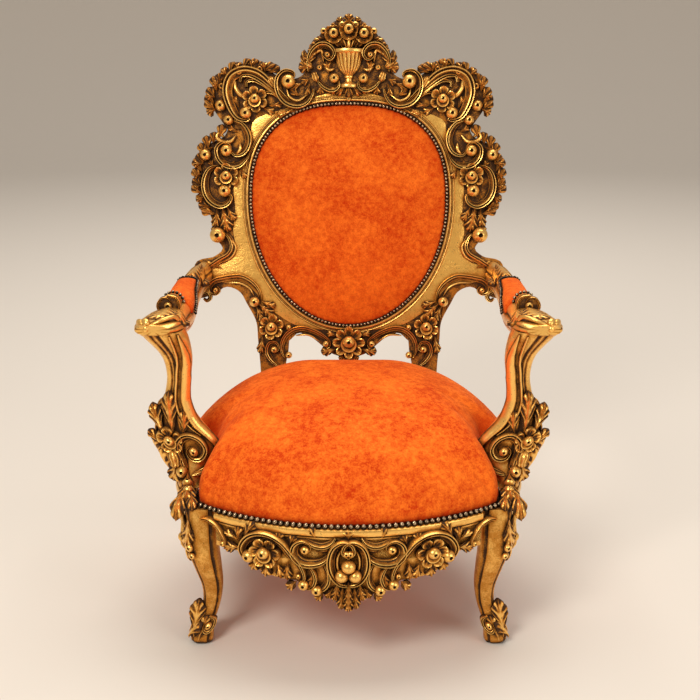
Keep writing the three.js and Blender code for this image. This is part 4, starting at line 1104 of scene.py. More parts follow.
# %% The carving of the apron
apron_half = [
    scroll([(-195, 236), (-208, 236), (-215, 250), (-203, 273), (-182, 286), (-156, 287), (-132, 275),
            (-113, 253), (-95, 230), (-88, 208), (-90, 194)], 19, 20, (0.5, 0.45)),
    scroll([(-80, 262), (-76, 274), (-89, 282), (-103, 273), (-105, 254), (-91, 240), (-68, 238),
            (-48, 245), (-32, 262)], 15, 18, (0.5, 0.4)),
    scroll([(-84, 287), (-66, 278), (-50, 276), (-34, 283), (-26, 294)], 12, 14, (0.4, 0.4)),
    scroll([(-4, 254), (8, 264), (4, 279), (-10, 284), (-26, 274), (-34, 250), (-31, 222), (-17, 200),
            (2, 193)], 16, 21, (0.5, 0.5)),
    scroll([(-14, 268), (-21, 251), (-20, 228), (-8, 208)], 6, 10, (0.4, 0.4), section=ROUNDED),
    scroll([(-86, 236), (-72, 222), (-67, 202), (-76, 186), (-90, 186)], 13, 15, (0.4, 0.5)),
    scroll([(-52, 240), (-41, 220), (-42, 197), (-54, 182), (-64, 182)], 13, 15, (0.4, 0.5)),
    fruit((-88, 190), 11, 0.8), fruit((-62, 180), 11, 0.8), fruit((-84, 267), 9, 1.1),
    fruit((-200, 238), 13, 0.9), fruit((-13, 215), 13, 1.0, hole=0.01), fruit((-4, 262), 7, 1.6),
    fruit((-98, 206), 6, 0.9),
    *flower((-165, 252), 32, 22, first=60),
    leaf((-212, 270), 62, 46, 24, 13, bend=-20, lobes=3),
    leaf((-224, 262), 92, 34, 18, 12, bend=-10, lobes=2),
    leaf((-222, 250), 190, 40, 22, 12, bend=20, lobes=3), leaf((-226, 266), 160, 34, 16, 10, lobes=2),
    leaf((-186, 232), 250, 26, 22, 14, lobes=2), leaf((-164, 226), 268, 28, 22, 14, lobes=2),
    leaf((-140, 228), 286, 30, 22, 14, lobes=2), leaf((-118, 238), 262, 42, 18, 13, bend=20, lobes=3),
    leaf((-140, 272), 78, 26, 18, 11, lobes=2), leaf((-116, 270), 66, 26, 18, 11, lobes=2),
    leaf((-64, 292), 120, 22, 16, 9, lobes=1), leaf((-68, 222), 262, 40, 20, 12, bend=-10, lobes=3),
    leaf((-64, 262), 20, 30, 16, 11, bend=30, lobes=2),
    leaf((-20, 202), 262, 46, 20, 14, bend=-14, lobes=4), leaf((-30, 186), 240, 28, 14, 11, lobes=2),
    leaf((-10, 196), 264, 58, 18, 16, bend=6, lobes=4), leaf((-50, 176), 236, 24, 16, 11, lobes=2),
    leaf((-102, 196), 224, 28, 18, 12, lobes=2),
]
apron_middle = [
    fruit((0, 236), 14, 1.05, hole=0.01), leaf((0, 204), 270, 70, 26, 20, lobes=5),
    leaf((0, 288), 90, 20, 24, 10, lobes=2),
]
make_piece(
    "front_rail_carving", placed([*apron_forms, *both_sides(apron_half), *apron_middle], on_bow),
    old_gold, "gilded_wood", "front_rail",
)

# %% [markdown]
# ## Side and rear rails
# The side rails swell outwards and run back to the rear legs. Plain rails like these get a
# small moulding along both edges, cut with a plane. The seat's outline is measured once
# here, for the rails, the velvet and its nails.

# %% The seat's outline
SIDE_PLAN = [(-FRONT_HALF, 8), (-414, 115), (-390, 395), (-232, 552)]  # a cubic curve's handles


def seat_side(inset, count=70):
    """The left side of the seat's outline, or a line that far inside it."""
    t = np.linspace(0, 1, count)[:, None]
    a, b, c, d = (np.array(p, float) for p in SIDE_PLAN)
    p = (1 - t) ** 3 * a + 3 * (1 - t) ** 2 * t * b + 3 * (1 - t) * t**2 * c + t**3 * d
    along = 3 * (1 - t) ** 2 * (b - a) + 6 * (1 - t) * t * (c - b) + 3 * t**2 * (d - c)
    along /= np.linalg.norm(along, axis=1)[:, None]
    return p + np.column_stack([along[:, 1], -along[:, 0]]) * inset


print("the seat's side is", round(line_length(seat_side(0))), "mm long")

# %% [markdown]
# The side rails carry one section along that outline. The rear rail is straight, and shows
# only its moulded back between the legs.

# %% Side and rear rails
RAIL_SECTION = [  # (inwards from the outside, height share, relief)
    (0, 0.0, 0.5), (-1.5, 0.02, 0.9), (-2.5, 0.07, 1), (-1.5, 0.12, 0.7), (0.5, 0.14, 0.1),
    (0.5, 0.2, 0.7), (-0.5, 0.5, 0.8), (0.5, 0.74, 0.7), (0.8, 0.77, 0.1), (-1.5, 0.8, 0.8),
    (-3, 0.86, 1), (-2.5, 0.94, 1), (-0.5, 0.99, 0.8), (0, 1.0, 0.5), (34, 1.0, 0.3), (34, 0.0, 0.2),
]


def side_rail():
    """The left side rail, whose lower edge is slightly arched."""
    rings = []
    lines = {inset: seat_side(inset) for inset in {row[0] for row in RAIL_SECTION}}
    for k in range(70):
        low = 237 + 6 * math.sin(math.pi * k / 69)
        tall = RAIL_TOP - low
        rings.append([
            (*lines[inset][k], low + tall * share, tone) for inset, share, tone in RAIL_SECTION
        ])
    return loft(rings)


side_forms = [side_rail()]
make_piece("side_rail_left_moulded", side_forms, old_gold, "gilded_wood", "side_rail_left")
make_piece("side_rail_right_moulded", mirrored(side_forms), old_gold, "gilded_wood", "side_rail_right")

REAR_SECTION = [  # (depth, height, relief)
    (556, 241, 0.3), (581, 241, 0.5), (583, 246, 1), (581, 251, 0.2), (581, 298, 0.7),
    (583.5, 303, 1), (581, 309, 0.5), (556, 309, 0.3),
]
rear_rings = [[(x, *row) for row in REAR_SECTION] for x in np.linspace(-200, 200, 60)]
make_piece("rear_rail_moulded", [loft(rear_rings)], old_gold, "gilded_wood", "rear_rail")

# %% [markdown]
# ## Front legs
# A front leg is a cabriole: it swells out at the knee, draws in at the ankle and ends in a
# small scrolled foot. It is lofted through level sections, with a groove cut down its front
# edges, and its knee and ankle are dressed with leaves. Two more grounds lay carving on the
# front and on the outer side of such a post.

# %% Posts as grounds for carving
def row_at(rows, height):
    rows = np.array(rows, float)
    return [np.interp(height, rows[:, 0], rows[:, k]) for k in range(1, 5)]


def front_of(rows):
    """The front face of a post: u across from its middle, v the height."""

    def ground(points):
        u, v, w, relief = points.T
        x, y, half_wide, half_deep = row_at(rows, v)
        around = np.clip(np.abs(u) / half_wide, 0, 1.2)
        return np.column_stack([x + u, y - half_deep * (1 - 0.28 * around**3) - w, v, relief])

    return ground


def outside_of(rows):
    """The outer side of a left-hand post: u forwards from its middle, v the height."""

    def ground(points):
        u, v, w, relief = points.T
        x, y, half_wide, half_deep = row_at(rows, v)
        around = np.clip(np.abs(u) / half_deep, 0, 1.2)
        return np.column_stack([x - half_wide * (1 - 0.28 * around**3) - w, y - u, v, relief])

    return ground


print("grounds: front_of, outside_of")

# %% Front legs
FRONT_LEG = [
    (0, -308, 8, 19, 20), (6, -309, 6, 23, 25), (16, -309, 5, 24, 26), (30, -306, 7, 21, 22),
    (46, -301, 11, 19, 19), (66, -294, 13, 19, 19), (95, -286, 11, 19, 19), (132, -284, 6, 22, 22),
    (172, -290, 0, 27, 27), (208, -297, -1, 31, 32), (238, -300, 6, 32, 36),
    (RAIL_TOP - 1, -302, 16, 33, 36),
]
# tone 0.5 paints the legs darker than the rest of the gold: painted shade under the seat
leg_post = rounded_post(FRONT_LEG, 110, sides=64, tone=0.5,
                        grooves=[(304, 4, 3.4), (312, 3, 1.5), (226, 5, 2), (190, 6, 2)])
leg_front = [
    leaf((-16, 20), 100, 78, 30, 9, bend=-8, lobes=4), leaf((-6, 12), 84, 52, 24, 8, lobes=3),
    scroll([(4, 62), (16, 54), (18, 40), (9, 32), (1, 38), (4, 47)], 11, 9, (0.4, 0.5)),
    fruit((8, 43), 7.5, 0.8), leaf((-24, 290), 264, 60, 24, 13, bend=-6, lobes=3, tip=0.7),
    fruit((-26, 232), 9, 0.9), fruit((-22, 214), 7, 0.9),
]
leg_side = [
    leaf((0, 300), 270, 88, 42, 12, lobes=5, tip=0.8), leaf((14, 296), 284, 60, 28, 9, bend=12, lobes=4),
    leaf((-14, 296), 256, 60, 28, 9, bend=-12, lobes=4), fruit((6, 240), 10, 0.9),
    leaf((6, 232), 268, 44, 22, 8, lobes=3), leaf((-4, 14), 92, 70, 34, 8, lobes=4),
    leaf((12, 10), 70, 44, 22, 8, lobes=3),
]
leg_corner = [
    scroll([(-322, 284), (-300, 290), (-279, 284), (-266, 269), (-258, 252), (-262, 244)], 15, 14,
           (0.5, 0.5)),
    fruit((-262, 249), 7, 0.9),
]
leg_forms = [
    leg_post, *placed(leg_front, front_of(FRONT_LEG)), *placed(leg_side, outside_of(FRONT_LEG)),
    *placed(leg_corner, on_bow),
]
make_piece("front_leg_left_carved", leg_forms, old_gold, "gilded_wood", "front_leg_left")
make_piece("front_leg_right_carved", mirrored(leg_forms), old_gold, "gilded_wood", "front_leg_right")

# %% [markdown]
# ## Arm supports
# The support rises from the rail, curls inwards over the velvet with a scroll and a fruit,
# carries a flower with upright leaves, and then narrows to a neck that flares into the arm.

# %% Arm supports
ARM_SUPPORT = [
    (RAIL_TOP + 0.6, -338, 128, 26, 44), (322, -338, 130, 27, 43), (336, -338, 134, 31, 41),
    (352, -337, 137, 43, 38), (372, -337, 140, 56, 35), (392, -341, 139, 61, 32),
    (408, -345, 137, 60, 31), (432, -352, 136, 50, 28), (462, -358, 134, 36, 25),
    (500, -360, 132, 27, 23), (545, -354, 130, 25, 23), (580, -354, 128, 29, 25),
    (600, -358, 124, 33, 28), (620, -366, 118, 39, 33), (640, -376, 112, 45, 38),
    (654, -383, 109, 46, 41),
]
# tone 0.68 paints the supports a little darker: painted shade
support_post = rounded_post(
    ARM_SUPPORT, 120, sides=64, power=2.5, tone=0.68,
    grooves=[(262, 4, 3.6), (244, 4, 2.6), (180, 7, 2)],
)
print("the support is", round(ARM_SUPPORT[-1][0] - RAIL_TOP), "mm tall")

# %% [markdown]
# The front of the support is carved all over: a scroll below, a flower beside it with two tall
# leaves, and ribs that follow the neck up to the arm.

# %% The carving of the supports
support_front = [
    scroll([(62, 374), (66, 396), (54, 420), (36, 446), (24, 480), (18, 520), (18, 560), (24, 600),
            (36, 650)], 20, 11, (0.5, 0.12), section=ROUNDED),
    scroll([(38, 422), (20, 442), (4, 474), (-1, 512), (-1, 556), (6, 600), (18, 648)], 6, 8, (0.4, 0.6),
           section=ROUNDED),
    scroll([(10, 396), (3, 388), (9, 376), (25, 376), (37, 392), (32, 412), (12, 422), (-8, 412),
            (-16, 392), (-6, 352)], 17, 18, (0.45, 0.6)),
    fruit((16, 391), 9.5, 1.6), scroll([(52, 372), (46, 356), (30, 346), (8, 340)], 11, 9, (0.5, 0.4)),
    *flower((-28, 414), 28, 19, petals=5, first=90),
    leaf((-18, 424), 86, 96, 30, 13, bend=10, lobes=4, tip=0.8),
    leaf((-36, 420), 104, 72, 26, 12, bend=-4, lobes=4, tip=0.8),
    leaf((2, 424), 70, 56, 22, 12, bend=20, lobes=3), leaf((-46, 402), 134, 38, 20, 12, lobes=2),
    husk((-30, 394), 276, 36, 32, 24), fruit((-14, 349), 12, 0.9),
    leaf((-26, 372), 262, 52, 28, 10, lobes=3), leaf((-2, 350), 270, 38, 22, 8, lobes=3),
]
support_side = [
    leaf((0, 330), 90, 92, 46, 12, lobes=5, tip=0.7),
    leaf((-16, 330), 104, 62, 26, 10, bend=-10, lobes=3),
    leaf((16, 330), 76, 62, 26, 10, bend=10, lobes=3), leaf((0, 400), 90, 96, 28, 10, lobes=5, tip=0.7),
]
print(len(support_front) + len(support_side), "forms on each support")

# %% [markdown]
# A drop of leaves and fruits hides the place where the support stands on the rail. It needs a
# ground of its own, which bends over the corner from the level wood to the upright front.

# %% The drop over the corner
CORNER_PATH = [(84, 352), (70, 330), (44, 320), (14, 316), (-14, 311), (-22, 296), (-24, 262)]


def over_corner(points):
    """Over the rail's corner, from the foot of the support forwards and down: v the distance."""
    u, v, w, relief = points.T
    line = smooth_line(CORNER_PATH, 60)
    walked = np.linspace(0, line_length(line), 60)
    y, z, ahead_y, ahead_z = (np.interp(v, walked, row) for row in (*line.T, *headings(line).T))
    return np.column_stack([-337 + v * 0.05 + u, y + w * ahead_z, z - w * ahead_y, relief])


corner_drop = [
    leaf((0, 6), 90, 96, 34, 12, lobes=4, tip=0.8), leaf((-8, 56), 98, 84, 26, 13, lobes=3, tip=0.7),
    leaf((8, 62), 84, 60, 20, 11, lobes=3), fruit((0, 34), 11, 0.8), fruit((2, 62), 10, 1.0),
]
support_forms = [
    support_post, *placed(support_front, front_of(ARM_SUPPORT)),
    *placed(support_side, outside_of(ARM_SUPPORT)),
    *placed(corner_drop, over_corner),
]
make_piece("arm_support_left_carved", support_forms, old_gold, "gilded_wood", "arm_support_left")
make_piece("arm_support_right_carved", mirrored(support_forms), old_gold, "gilded_wood",
           "arm_support_right")

# %% [markdown]
# ## Arms
# Each arm springs from the swelling of the stile, carries a pad, turns over in a roll and
# flares into a grip that fills the hand. It is lofted from back to front like the support.
# A carved leaf lies behind the pad, and the roll ends in a drilled boss.

# %% Arms
ARM = [  # y, x, z, half width, half height
    (640, -350, 652, 20, 31), (590, -356, 651, 20, 33), (540, -363, 650, 21, 35),
    (446, -369, 646, 26, 35), (360, -369, 644, 30, 37), (290, -367, 643, 32, 38),
    (230, -368, 645, 33, 37), (198, -371, 648, 35, 34), (172, -374, 650, 38, 31),
    (146, -378, 653, 43, 28), (122, -381, 655, 46, 24), (104, -385, 658, 46, 20), (88, -388, 660, 45, 17),
    (76, -391, 661, 42, 14), (64, -394, 662, 35, 10),
]
ARM_POWER = 2.3  # how square the arm is: 2 would be round
ARM_GROOVES = [(18, 7, 2.6), (162, 7, 2.6), (-28, 6, 2), (208, 6, 2), (250, 5, 1.5), (290, 5, 1.5)]


def arm_body(count=150, sides=56):
    c, s, corner, cut = rounded_square(sides, ARM_POWER, ARM_GROOVES)
    rings = []
    for y, x, z, half_wide, half_tall in smooth_line(ARM, count):
        grooved = cut * min(1, half_tall / 26)
        px, pz = x + (half_wide * corner - grooved) * c, z + (half_tall * corner - grooved) * s
        rings.append(np.column_stack([px, np.full(sides, y), pz, np.clip(0.85 - cut * 0.32, 0, 1)]))
    return loft(rings)


print("the arm is", ARM[0][0] - ARM[-1][0], "mm long")

# %% [markdown]
# The carving on an arm lies on three grounds: the rounded top, the flat front of the roll, and
# the curved edge of the grip. Each is a function from flat carving to its place.

# %% Grounds on the arm
def arm_row(y):
    """The arm's middle and half sizes at that distance back."""
    return row_at(sorted(ARM), y)


def arm_round(share):
    """How high the arm's top still is at that share of its half width, or the reverse."""
    return (1 - share**ARM_POWER) ** (1 / ARM_POWER)


def arm_ground(points):
    """The top of the arm: u across from its middle, v the distance back, w upwards."""
    u, v, w, relief = points.T
    x, z, half_wide, half_tall = arm_row(v)
    crown = arm_round(np.clip(np.abs(u) / half_wide, 0, 0.98))
    return np.column_stack([x + u, v, z + half_tall * crown + w, relief])


def ahead(at_y):
    """A ground that faces the sitter's front: u is x, v is the height."""
    return lambda points: np.column_stack([points[:, 0], at_y - points[:, 2], points[:, 1], points[:, 3]])


print("grounds: arm_ground, ahead")

# %% [markdown]
# Behind the grip the wood turns over in a roll. It is turned like a spool with a moulded rim.

# %% The roll
ROLL_SHAPE = [  # (share of its length from the front, share of its radius)
    (0, 0.2), (0.01, 0.9), (0.04, 1.0), (0.1, 1.0), (0.14, 0.88), (0.2, 0.86), (0.24, 0.96),
    (0.5, 0.97), (0.9, 0.9), (1, 0.5),
]


def roll(start, end, radius, sides=40):
    """The turned-over end of the arm, with a moulded rim, lying front to back."""
    angle = np.linspace(0, 2 * math.pi, sides, endpoint=False)
    rings = []
    for t, share in ROLL_SHAPE:
        x, y, z = (a + (b - a) * t for a, b in zip(start, end))
        r, relief = radius * share, 0.9 if share > 0.93 else 0.3
        rings.append([(x + r * math.cos(a), y, z + r * math.sin(a), relief) for a in angle])
    return loft(rings)


print("the roll has", len(ROLL_SHAPE), "rings")

# %% [markdown]
# The grip ends in a curled edge with a small cluster of berries, which is what the sitter's
# fingers close round. A long leaf runs back from it over the top of the arm, and another one
# lies where the arm leaves the stile.

# %% The grip and the leaves of the arm
def on_grip(points):
    """The rounded front edge of the grip: u is x, v is the height."""
    u, v, w, relief = points.T
    return np.column_stack([u, 78 + 26 * ((u + 392) / 42) ** 2 - w, v, relief])


ROLL_FRONT, ROLL_BACK, ROLL_RADIUS = (-379, 178, 683), (-374, 226, 681), 22
arm_boss = [
    scroll([(-379, 706), (-361, 701), (-355, 686), (-362, 670), (-379, 665), (-394, 672), (-399, 687),
            (-390, 700), (-377, 699), (-371, 689)], 8, 7, (0.9, 0.4)),
    fruit((-378, 685), 8.5, 0.7, hole=0.5),
]
grip = [
    scroll([(-428, 662), (-412, 664), (-394, 672), (-374, 680), (-354, 682), (-346, 672)], 10, 9,
           (0.8, 0.5), section=ROUNDED),
    scroll([(-416, 648), (-398, 652), (-376, 662), (-354, 664)], 8, 6, (0.5, 0.5), section=ROUNDED),
    *[fruit(at, 10.5, 0.5, hole=0.01) for at in ((-427, 658), (-417, 656), (-407, 660), (-422, 670),
                                                 (-410, 674))],
    fruit((-412, 664), 11, 0.9, hole=0.01),
]
arm_top = [
    leaf((4, 576), 268, 120, 42, 6, lobes=6, tip=0.6), leaf((-10, 560), 258, 80, 26, 5, lobes=4),
    leaf((12, 560), 280, 80, 26, 5, lobes=4), leaf((0, 176), 268, 84, 60, 5, lobes=5, tip=0.7),
    leaf((-20, 168), 246, 70, 30, 4, bend=14, lobes=4),
    leaf((20, 168), 292, 66, 30, 4, bend=-14, lobes=4),
]
arm_forms = [
    arm_body(), roll(ROLL_FRONT, ROLL_BACK, ROLL_RADIUS), *placed(arm_boss, ahead(180)),
    *placed(arm_top, arm_ground), *placed(grip, on_grip),
]
make_piece("arm_left_carved", arm_forms, old_gold, "gilded_wood", "arm_left")
make_piece("arm_right_carved", mirrored(arm_forms), old_gold, "gilded_wood", "arm_right")

# %% [markdown]
# ## Velvet
# Velvet is a dense pile of short threads. It looks bright where the pile leans towards the
# light and deep where it leans away, so a cushion is never one even colour: hands and sitters
# leave soft patches. One shared effect paints those patches into the colour in three sizes, as
# painted sheen, and darkens the colour with painted shade where the frame and the folds close
# round the cloth. The seat, back and arms use it with their own strength. Sheen on the shader
# gives the pale rim that pile has at a glancing angle.

# %% The nap of the velvet, with painted sheen and painted shade
nap, given, out = new_group(
    "velvet_nap_sheen_and_shade",
    {"Patch strength": 1.0, "Lit pile": (1.0, 0.2, 0.014, 1), "Shaded pile": (0.52, 0.03, 0.001, 1)},
    {"Colour": "Color", "Pile": "Float", "Roughness": "Float"},
)
# painted sheen: patches of lighter and darker pile where it leans towards or away from the light
broad = fade(nap, cloud(nap, 90, detail=5, rough=0.6, shift=2.2), 0.32, 0.68, -0.2, 0.2)
patches = fade(nap, cloud(nap, 13, detail=7, rough=0.72, shift=5.1), 0.34, 0.66, -0.28, 0.28)
threads = fade(nap, cloud(nap, 3.4, detail=4, rough=0.7, shift=8.3), 0.3, 0.7, -0.22, 0.22)
# painted shade: the pile colour darkens where the frame and the folds close round the cloth, within 10 cm
shade = node(nap, "AmbientOcclusion", samples=8, Distance=0.1)
lean_and_shade = sums(nap, "ADD", sums(nap, "ADD", broad, patches), threads)
lean_and_shade = sums(nap, "ADD", sums(nap, "MULTIPLY", lean_and_shade, given["Patch strength"]), 0.5, clamp=True)
lean_and_shade = sums(nap, "MULTIPLY", lean_and_shade, sums(nap, "POWER", shade.outputs["AO"], 1.6))
nap.links.new(blend_colour(nap, lean_and_shade, given["Shaded pile"], given["Lit pile"]), out["Colour"])
nap.links.new(sums(nap, "ADD", threads, sums(nap, "MULTIPLY", patches, 0.8)), out["Pile"])
nap.links.new(fade(nap, lean_and_shade, 0.0, 1.0, 0.92, 0.7), out["Roughness"])
print("group:", nap.name)

# %% [markdown]
# The seat has been used most, so its patches of painted sheen are the strongest. The back's are
# softer, and the small pads of the arms have the calmest velvet.

# %% Three velvets
def velvet(name, strength):
    """Orange velvet whose patches of painted sheen, where hands have crushed the pile, have that
    strength.
    """
    material, tree, shader = new_material(name)
    pile = node(tree, "Group", node_tree=nap)
    pile.inputs["Patch strength"].default_value = strength
    texture_skin(tree, shader, pile.outputs["Pile"], 0.35, 0.0015)
    tree.links.new(pile.outputs["Colour"], shader.inputs["Base Color"])
    tree.links.new(pile.outputs["Roughness"], shader.inputs["Roughness"])
    shader.inputs["Sheen Weight"].default_value = 0.3
    shader.inputs["Sheen Roughness"].default_value = 0.35
    shader.inputs["Sheen Tint"].default_value = (1.0, 0.36, 0.1, 1)
    shader.inputs["Specular IOR Level"].default_value = 0.1
    return material


seat_velvet = velvet("seat_velvet", 1.0)
back_velvet = velvet("back_velvet", 0.85)
arm_velvet = velvet("arm_velvet", 0.7)
print("materials:", seat_velvet.name, back_velvet.name, arm_velvet.name)

# %% [markdown]
# ## Padding
# Upholstery is stuffed until the cloth is tight. The swelling between the nails can't be
# drawn well by hand, so it is simulated: a skin slightly smaller than the finished pad is
# remeshed evenly, its nailed edge is pinned, and air pressure swells it for a few frames.
# A limit on each point's travel keeps the pad in the room that its solid holds. Then the
# cloth is drawn in a little along its nails, as it is where real nails pull it down.

# %% Blowing up a pad
def apply_modifiers(piece):
    """Makes what the modifiers show the piece's own mesh."""
    ready = bpy.data.meshes.new_from_object(piece.evaluated_get(bpy.context.evaluated_depsgraph_get()))
    piece.modifiers.clear()
    old = piece.data
    piece.data = ready
    bpy.data.meshes.remove(old)


def swollen(pad, start, held, travel):
    """Where the cloth's points are once air has filled it, none further off than travel."""
    group = pad.vertex_groups.new(name="nailed")
    group.add([int(i) for i in np.flatnonzero(held)], 1.0, "REPLACE")
    cloth = pad.modifiers.new("cloth", "CLOTH")
    cloth.settings.use_pressure, cloth.settings.uniform_pressure_force = True, 4.0
    cloth.settings.effector_weights.gravity = 0
    cloth.settings.vertex_group_mass = group.name
    cloth.point_cache.frame_start, cloth.point_cache.frame_end = 1, 20
    for moment in range(1, 21):
        bpy.context.scene.frame_set(moment)
    blown = np.empty(start.size)
    pad.evaluated_get(bpy.context.evaluated_depsgraph_get()).data.vertices.foreach_get("co", blown)
    move = blown.reshape(-1, 3) - start
    reach = np.linalg.norm(move, axis=1)[:, None]
    pad.modifiers.remove(cloth)
    bpy.context.scene.frame_set(1)
    print(pad.name, "swelled by up to", round(float(min(reach.max(), travel)) * 1000, 1), "mm")
    return start + move * np.minimum(1, travel / np.maximum(reach, 1e-9))


print("helpers: apply_modifiers, swollen")

# %% [markdown]
# A pad is made in this order: the drawn form, an even mesh, the swelling, a limit at the room
# its solid holds, and a last smoothing.

# %% Making a pad
FABRIC = np.array([0.003, 0.003, 0])  # how far cloth may stand past its solid


def padding(name, forms, finish, node_name, voxel, pinned, travel, crown_over=0.0):
    """A padded piece from closed forms. `pinned` tells which bench points the nails hold."""
    pad = make_piece(name, forms, finish, "velvet", node_name, sharp=180)
    pad.parent = None  # free while it is blown up; it rides the frame again at the end
    remesh = pad.modifiers.new("even", "REMESH")
    remesh.mode, remesh.voxel_size = "VOXEL", voxel
    apply_modifiers(pad)
    start = np.empty(len(pad.data.vertices) * 3)
    pad.data.vertices.foreach_get("co", start)
    start = start.reshape(-1, 3)
    start = swollen(pad, start, pinned(start * 1000 - [0, BENCH_Y, 0]), travel)
    low, high = (np.array(corner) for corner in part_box(node_name))
    low, high = low - FABRIC, high + FABRIC
    base, crown = start[:, 2].min(), start[:, 2].max()
    high[2] += crown_over
    if crown > high[2]:
        start[:, 2] = base + (start[:, 2] - base) * (high[2] - base) / (crown - base)
    over = np.maximum(low - start, start - high).max()
    print(name, "reaches past its room by", round(float(over) * 1000, 1), "mm, which is cut back")
    start = np.clip(start, low, high)
    pad.data.vertices.foreach_set("co", start.ravel())
    pad.modifiers.new("even", "SMOOTH").iterations = 4
    apply_modifiers(pad)
    pad.data.polygons.foreach_set("use_smooth", [True] * len(pad.data.polygons))
    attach(pad, "root")
    return pad


print("cloth may stand", FABRIC[0] * 1000, "mm past its solid on each side")

# %% [markdown]
# Nails pull the cloth down, so the edge of a pad is a row of small hills. Every point near the
# line of nails is moved inwards by a wave. It dips at every second nail, since dips at each
# one would be finer than the mesh can show.

# %% Drawing the cloth in at the nails
def draw_in(pad, nails, pitch, deep, reach):
    """Sinks the cloth along nails, a closed line in bench mm, once for every pitch in metres."""
    line = to_metres(nails)
    length = distances(line)
    count = len(pad.data.vertices)
    at = np.empty(count * 3)
    pad.data.vertices.foreach_get("co", at)
    at = at.reshape(-1, 3)
    normals = np.empty(count * 3)
    pad.data.vertices.foreach_get("normal", normals)
    tree = KDTree(len(line))
    for k, p in enumerate(line):
        tree.insert(p, k)
    tree.balance()
    for i, p in enumerate(at):
        _, k, away = tree.find(p)
        if away < reach * 3:
            wave = 0.5 + 0.5 * math.cos(2 * math.pi * length[k] / pitch)
            at[i] -= normals[3 * i : 3 * i + 3] * deep * wave * math.exp(-((away / reach) ** 2))
    pad.data.vertices.foreach_set("co", at.ravel())


print("helper ready: draw_in")

# %% The velvet of the seat
FINE = 1400  # points on a line that is followed closely
FOOT_NOTCH = [(-319, 44), (-306, 96), (-300, 150), (-306, 184), (-352, 196)]
SEAT_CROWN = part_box("seat_cushion")[1].z * 1000
SEAT_MIDDLE = 262


def velvet_plan(inset, notched=1.0, count=300):
    """The velvet's edge on the rails, closed, turned in at the feet of the arm supports."""
    corner = math.asin(FRONT_HALF / BOW_RADIUS)
    turn = np.linspace(0, corner, 30)
    front = np.column_stack([-BOW_RADIUS * np.sin(turn), BOW_CENTRE - BOW_RADIUS * np.cos(turn)])
    side = seat_side(0)
    outer = np.interp([y for _, y in FOOT_NOTCH], side[:, 1], side[:, 0])
    notch = [(o + (x - o) * notched, y) for (x, y), o in zip(FOOT_NOTCH, outer)]
    half = np.vstack([front, notch, side[side[:, 1] > 200]])
    line, _ = even_ring(np.vstack([half, half[:0:-1] * [-1, 1]]), count)
    for _ in range(6):  # eases the corners
        line = (np.roll(line, 1, axis=0) + 2 * line + np.roll(line, -1, axis=0)) / 4
    return line + outwards(line) * inset


print("the velvet's edge on the rails is", round(line_length(velvet_plan(0))), "mm round")

# %% [markdown]
# The cushion is a stack of such outlines. It bulges a little over its edge, as stuffing does
# above the nails, and then domes up to the crown, which lies behind the middle.

# %% The seat cushion
SEAT_SWELL = [  # (share of the height, share of the outline)
    (0, 1), (0.06, 1.003), (0.16, 1.006), (0.28, 0.995), (0.5, 0.91), (0.76, 0.71), (0.93, 0.42),
    (0.985, 0.2),
]
seat_base = RAIL_TOP + 1
seat_rise = SEAT_CROWN - seat_base - 12
seat_rings = []
for lift, share in smooth_line(SEAT_SWELL, 26):
    ring = velvet_plan(6.5, min(1, max(0, 2 - lift * 2.4)))
    ring = (ring - [0, SEAT_MIDDLE]) * share * 0.996 + [0, SEAT_MIDDLE + 55 * lift**2]
    seat_rings.append([(x, y, seat_base + seat_rise * lift, 1) for x, y in ring])
seat = padding(
    "seat_velvet_cushion", [loft(seat_rings)], seat_velvet, "seat_cushion", 0.0068,
    lambda p: p[:, 2] < seat_base + 9, 0.036, crown_over=0.008,
)
seat_nail_line = velvet_plan(2, count=FINE)
seat_hem = [(x, y, seat_base + 6) for x, y in velvet_plan(8, count=FINE)]
draw_in(seat, np.array(seat_hem), pitch=0.0252, deep=0.0025, reach=0.012)

# %% The velvet of the back, inside and out
DOME = [  # (share of the oval, share of the rise)
    (1, 0), (0.985, 0.12), (0.96, 0.27), (0.92, 0.42), (0.85, 0.6), (0.74, 0.78), (0.58, 0.91),
    (0.38, 0.98), (0.15, 1),
]


def oval_dome(grow, ground, edge, rise):
    """A pad on the oval, from its ground to its edge, and domed by the rise beyond it."""
    oval, _ = even_oval(grow, 160)
    middle = np.array([0, OVAL_WIDEST])
    rings = [[(*place, ground, 1) for place in oval]]
    for share, lift in DOME:
        rings.append([(*place, edge + rise * lift, 1) for place in (oval - middle) * share + middle])
    return placed([loft(rings)], on_back)


def behind_face(points):
    """How far bench points lie behind the front plane of the back."""
    return (points[:, 1] - BACK_FOOT) * math.cos(RAKE) - points[:, 2] * math.sin(RAKE)


back_pad = padding(
    "back_velvet_pad", oval_dome(-0.5, -13, 0, 30), back_velvet, "back_pad", 0.0045,
    lambda points: behind_face(points) > -2.5, 0.022,
)
back_hem = [(*place, 2, 1) for place in even_oval(-4, FINE)[0]]
draw_in(back_pad, on_back(np.array(back_hem)), pitch=0.0176, deep=0.0018, reach=0.009)
padding(
    "outside_back_velvet", oval_dome(-1, -15, -28, -6), back_velvet, "outside_back", 0.006,
    lambda points: behind_face(points) < 29, 0.005,
)

# %% Arm pads
PAD_FRONT, PAD_BACK = 227, 443


def pad_edge(y, side):
    """Where the pad's velvet ends on the arm: lower on the outer side, and low at the front."""
    x, z, half_wide, half_tall = arm_row(y)
    along = (np.clip(y, PAD_FRONT, PAD_BACK) - PAD_FRONT) / (PAD_BACK - PAD_FRONT)
    lift = np.where(side > 0, 30 - 24 * (1 - along) ** 3, 13.0)
    reach = half_wide * arm_round(lift / half_tall) + 2.5
    return x + side * reach, z + lift


print("the pads reach from", PAD_FRONT, "to", PAD_BACK, "mm back")

# %% [markdown]
# A pad lies on the arm like a saddle on a horse. Its velvet is nailed along both lower edges.

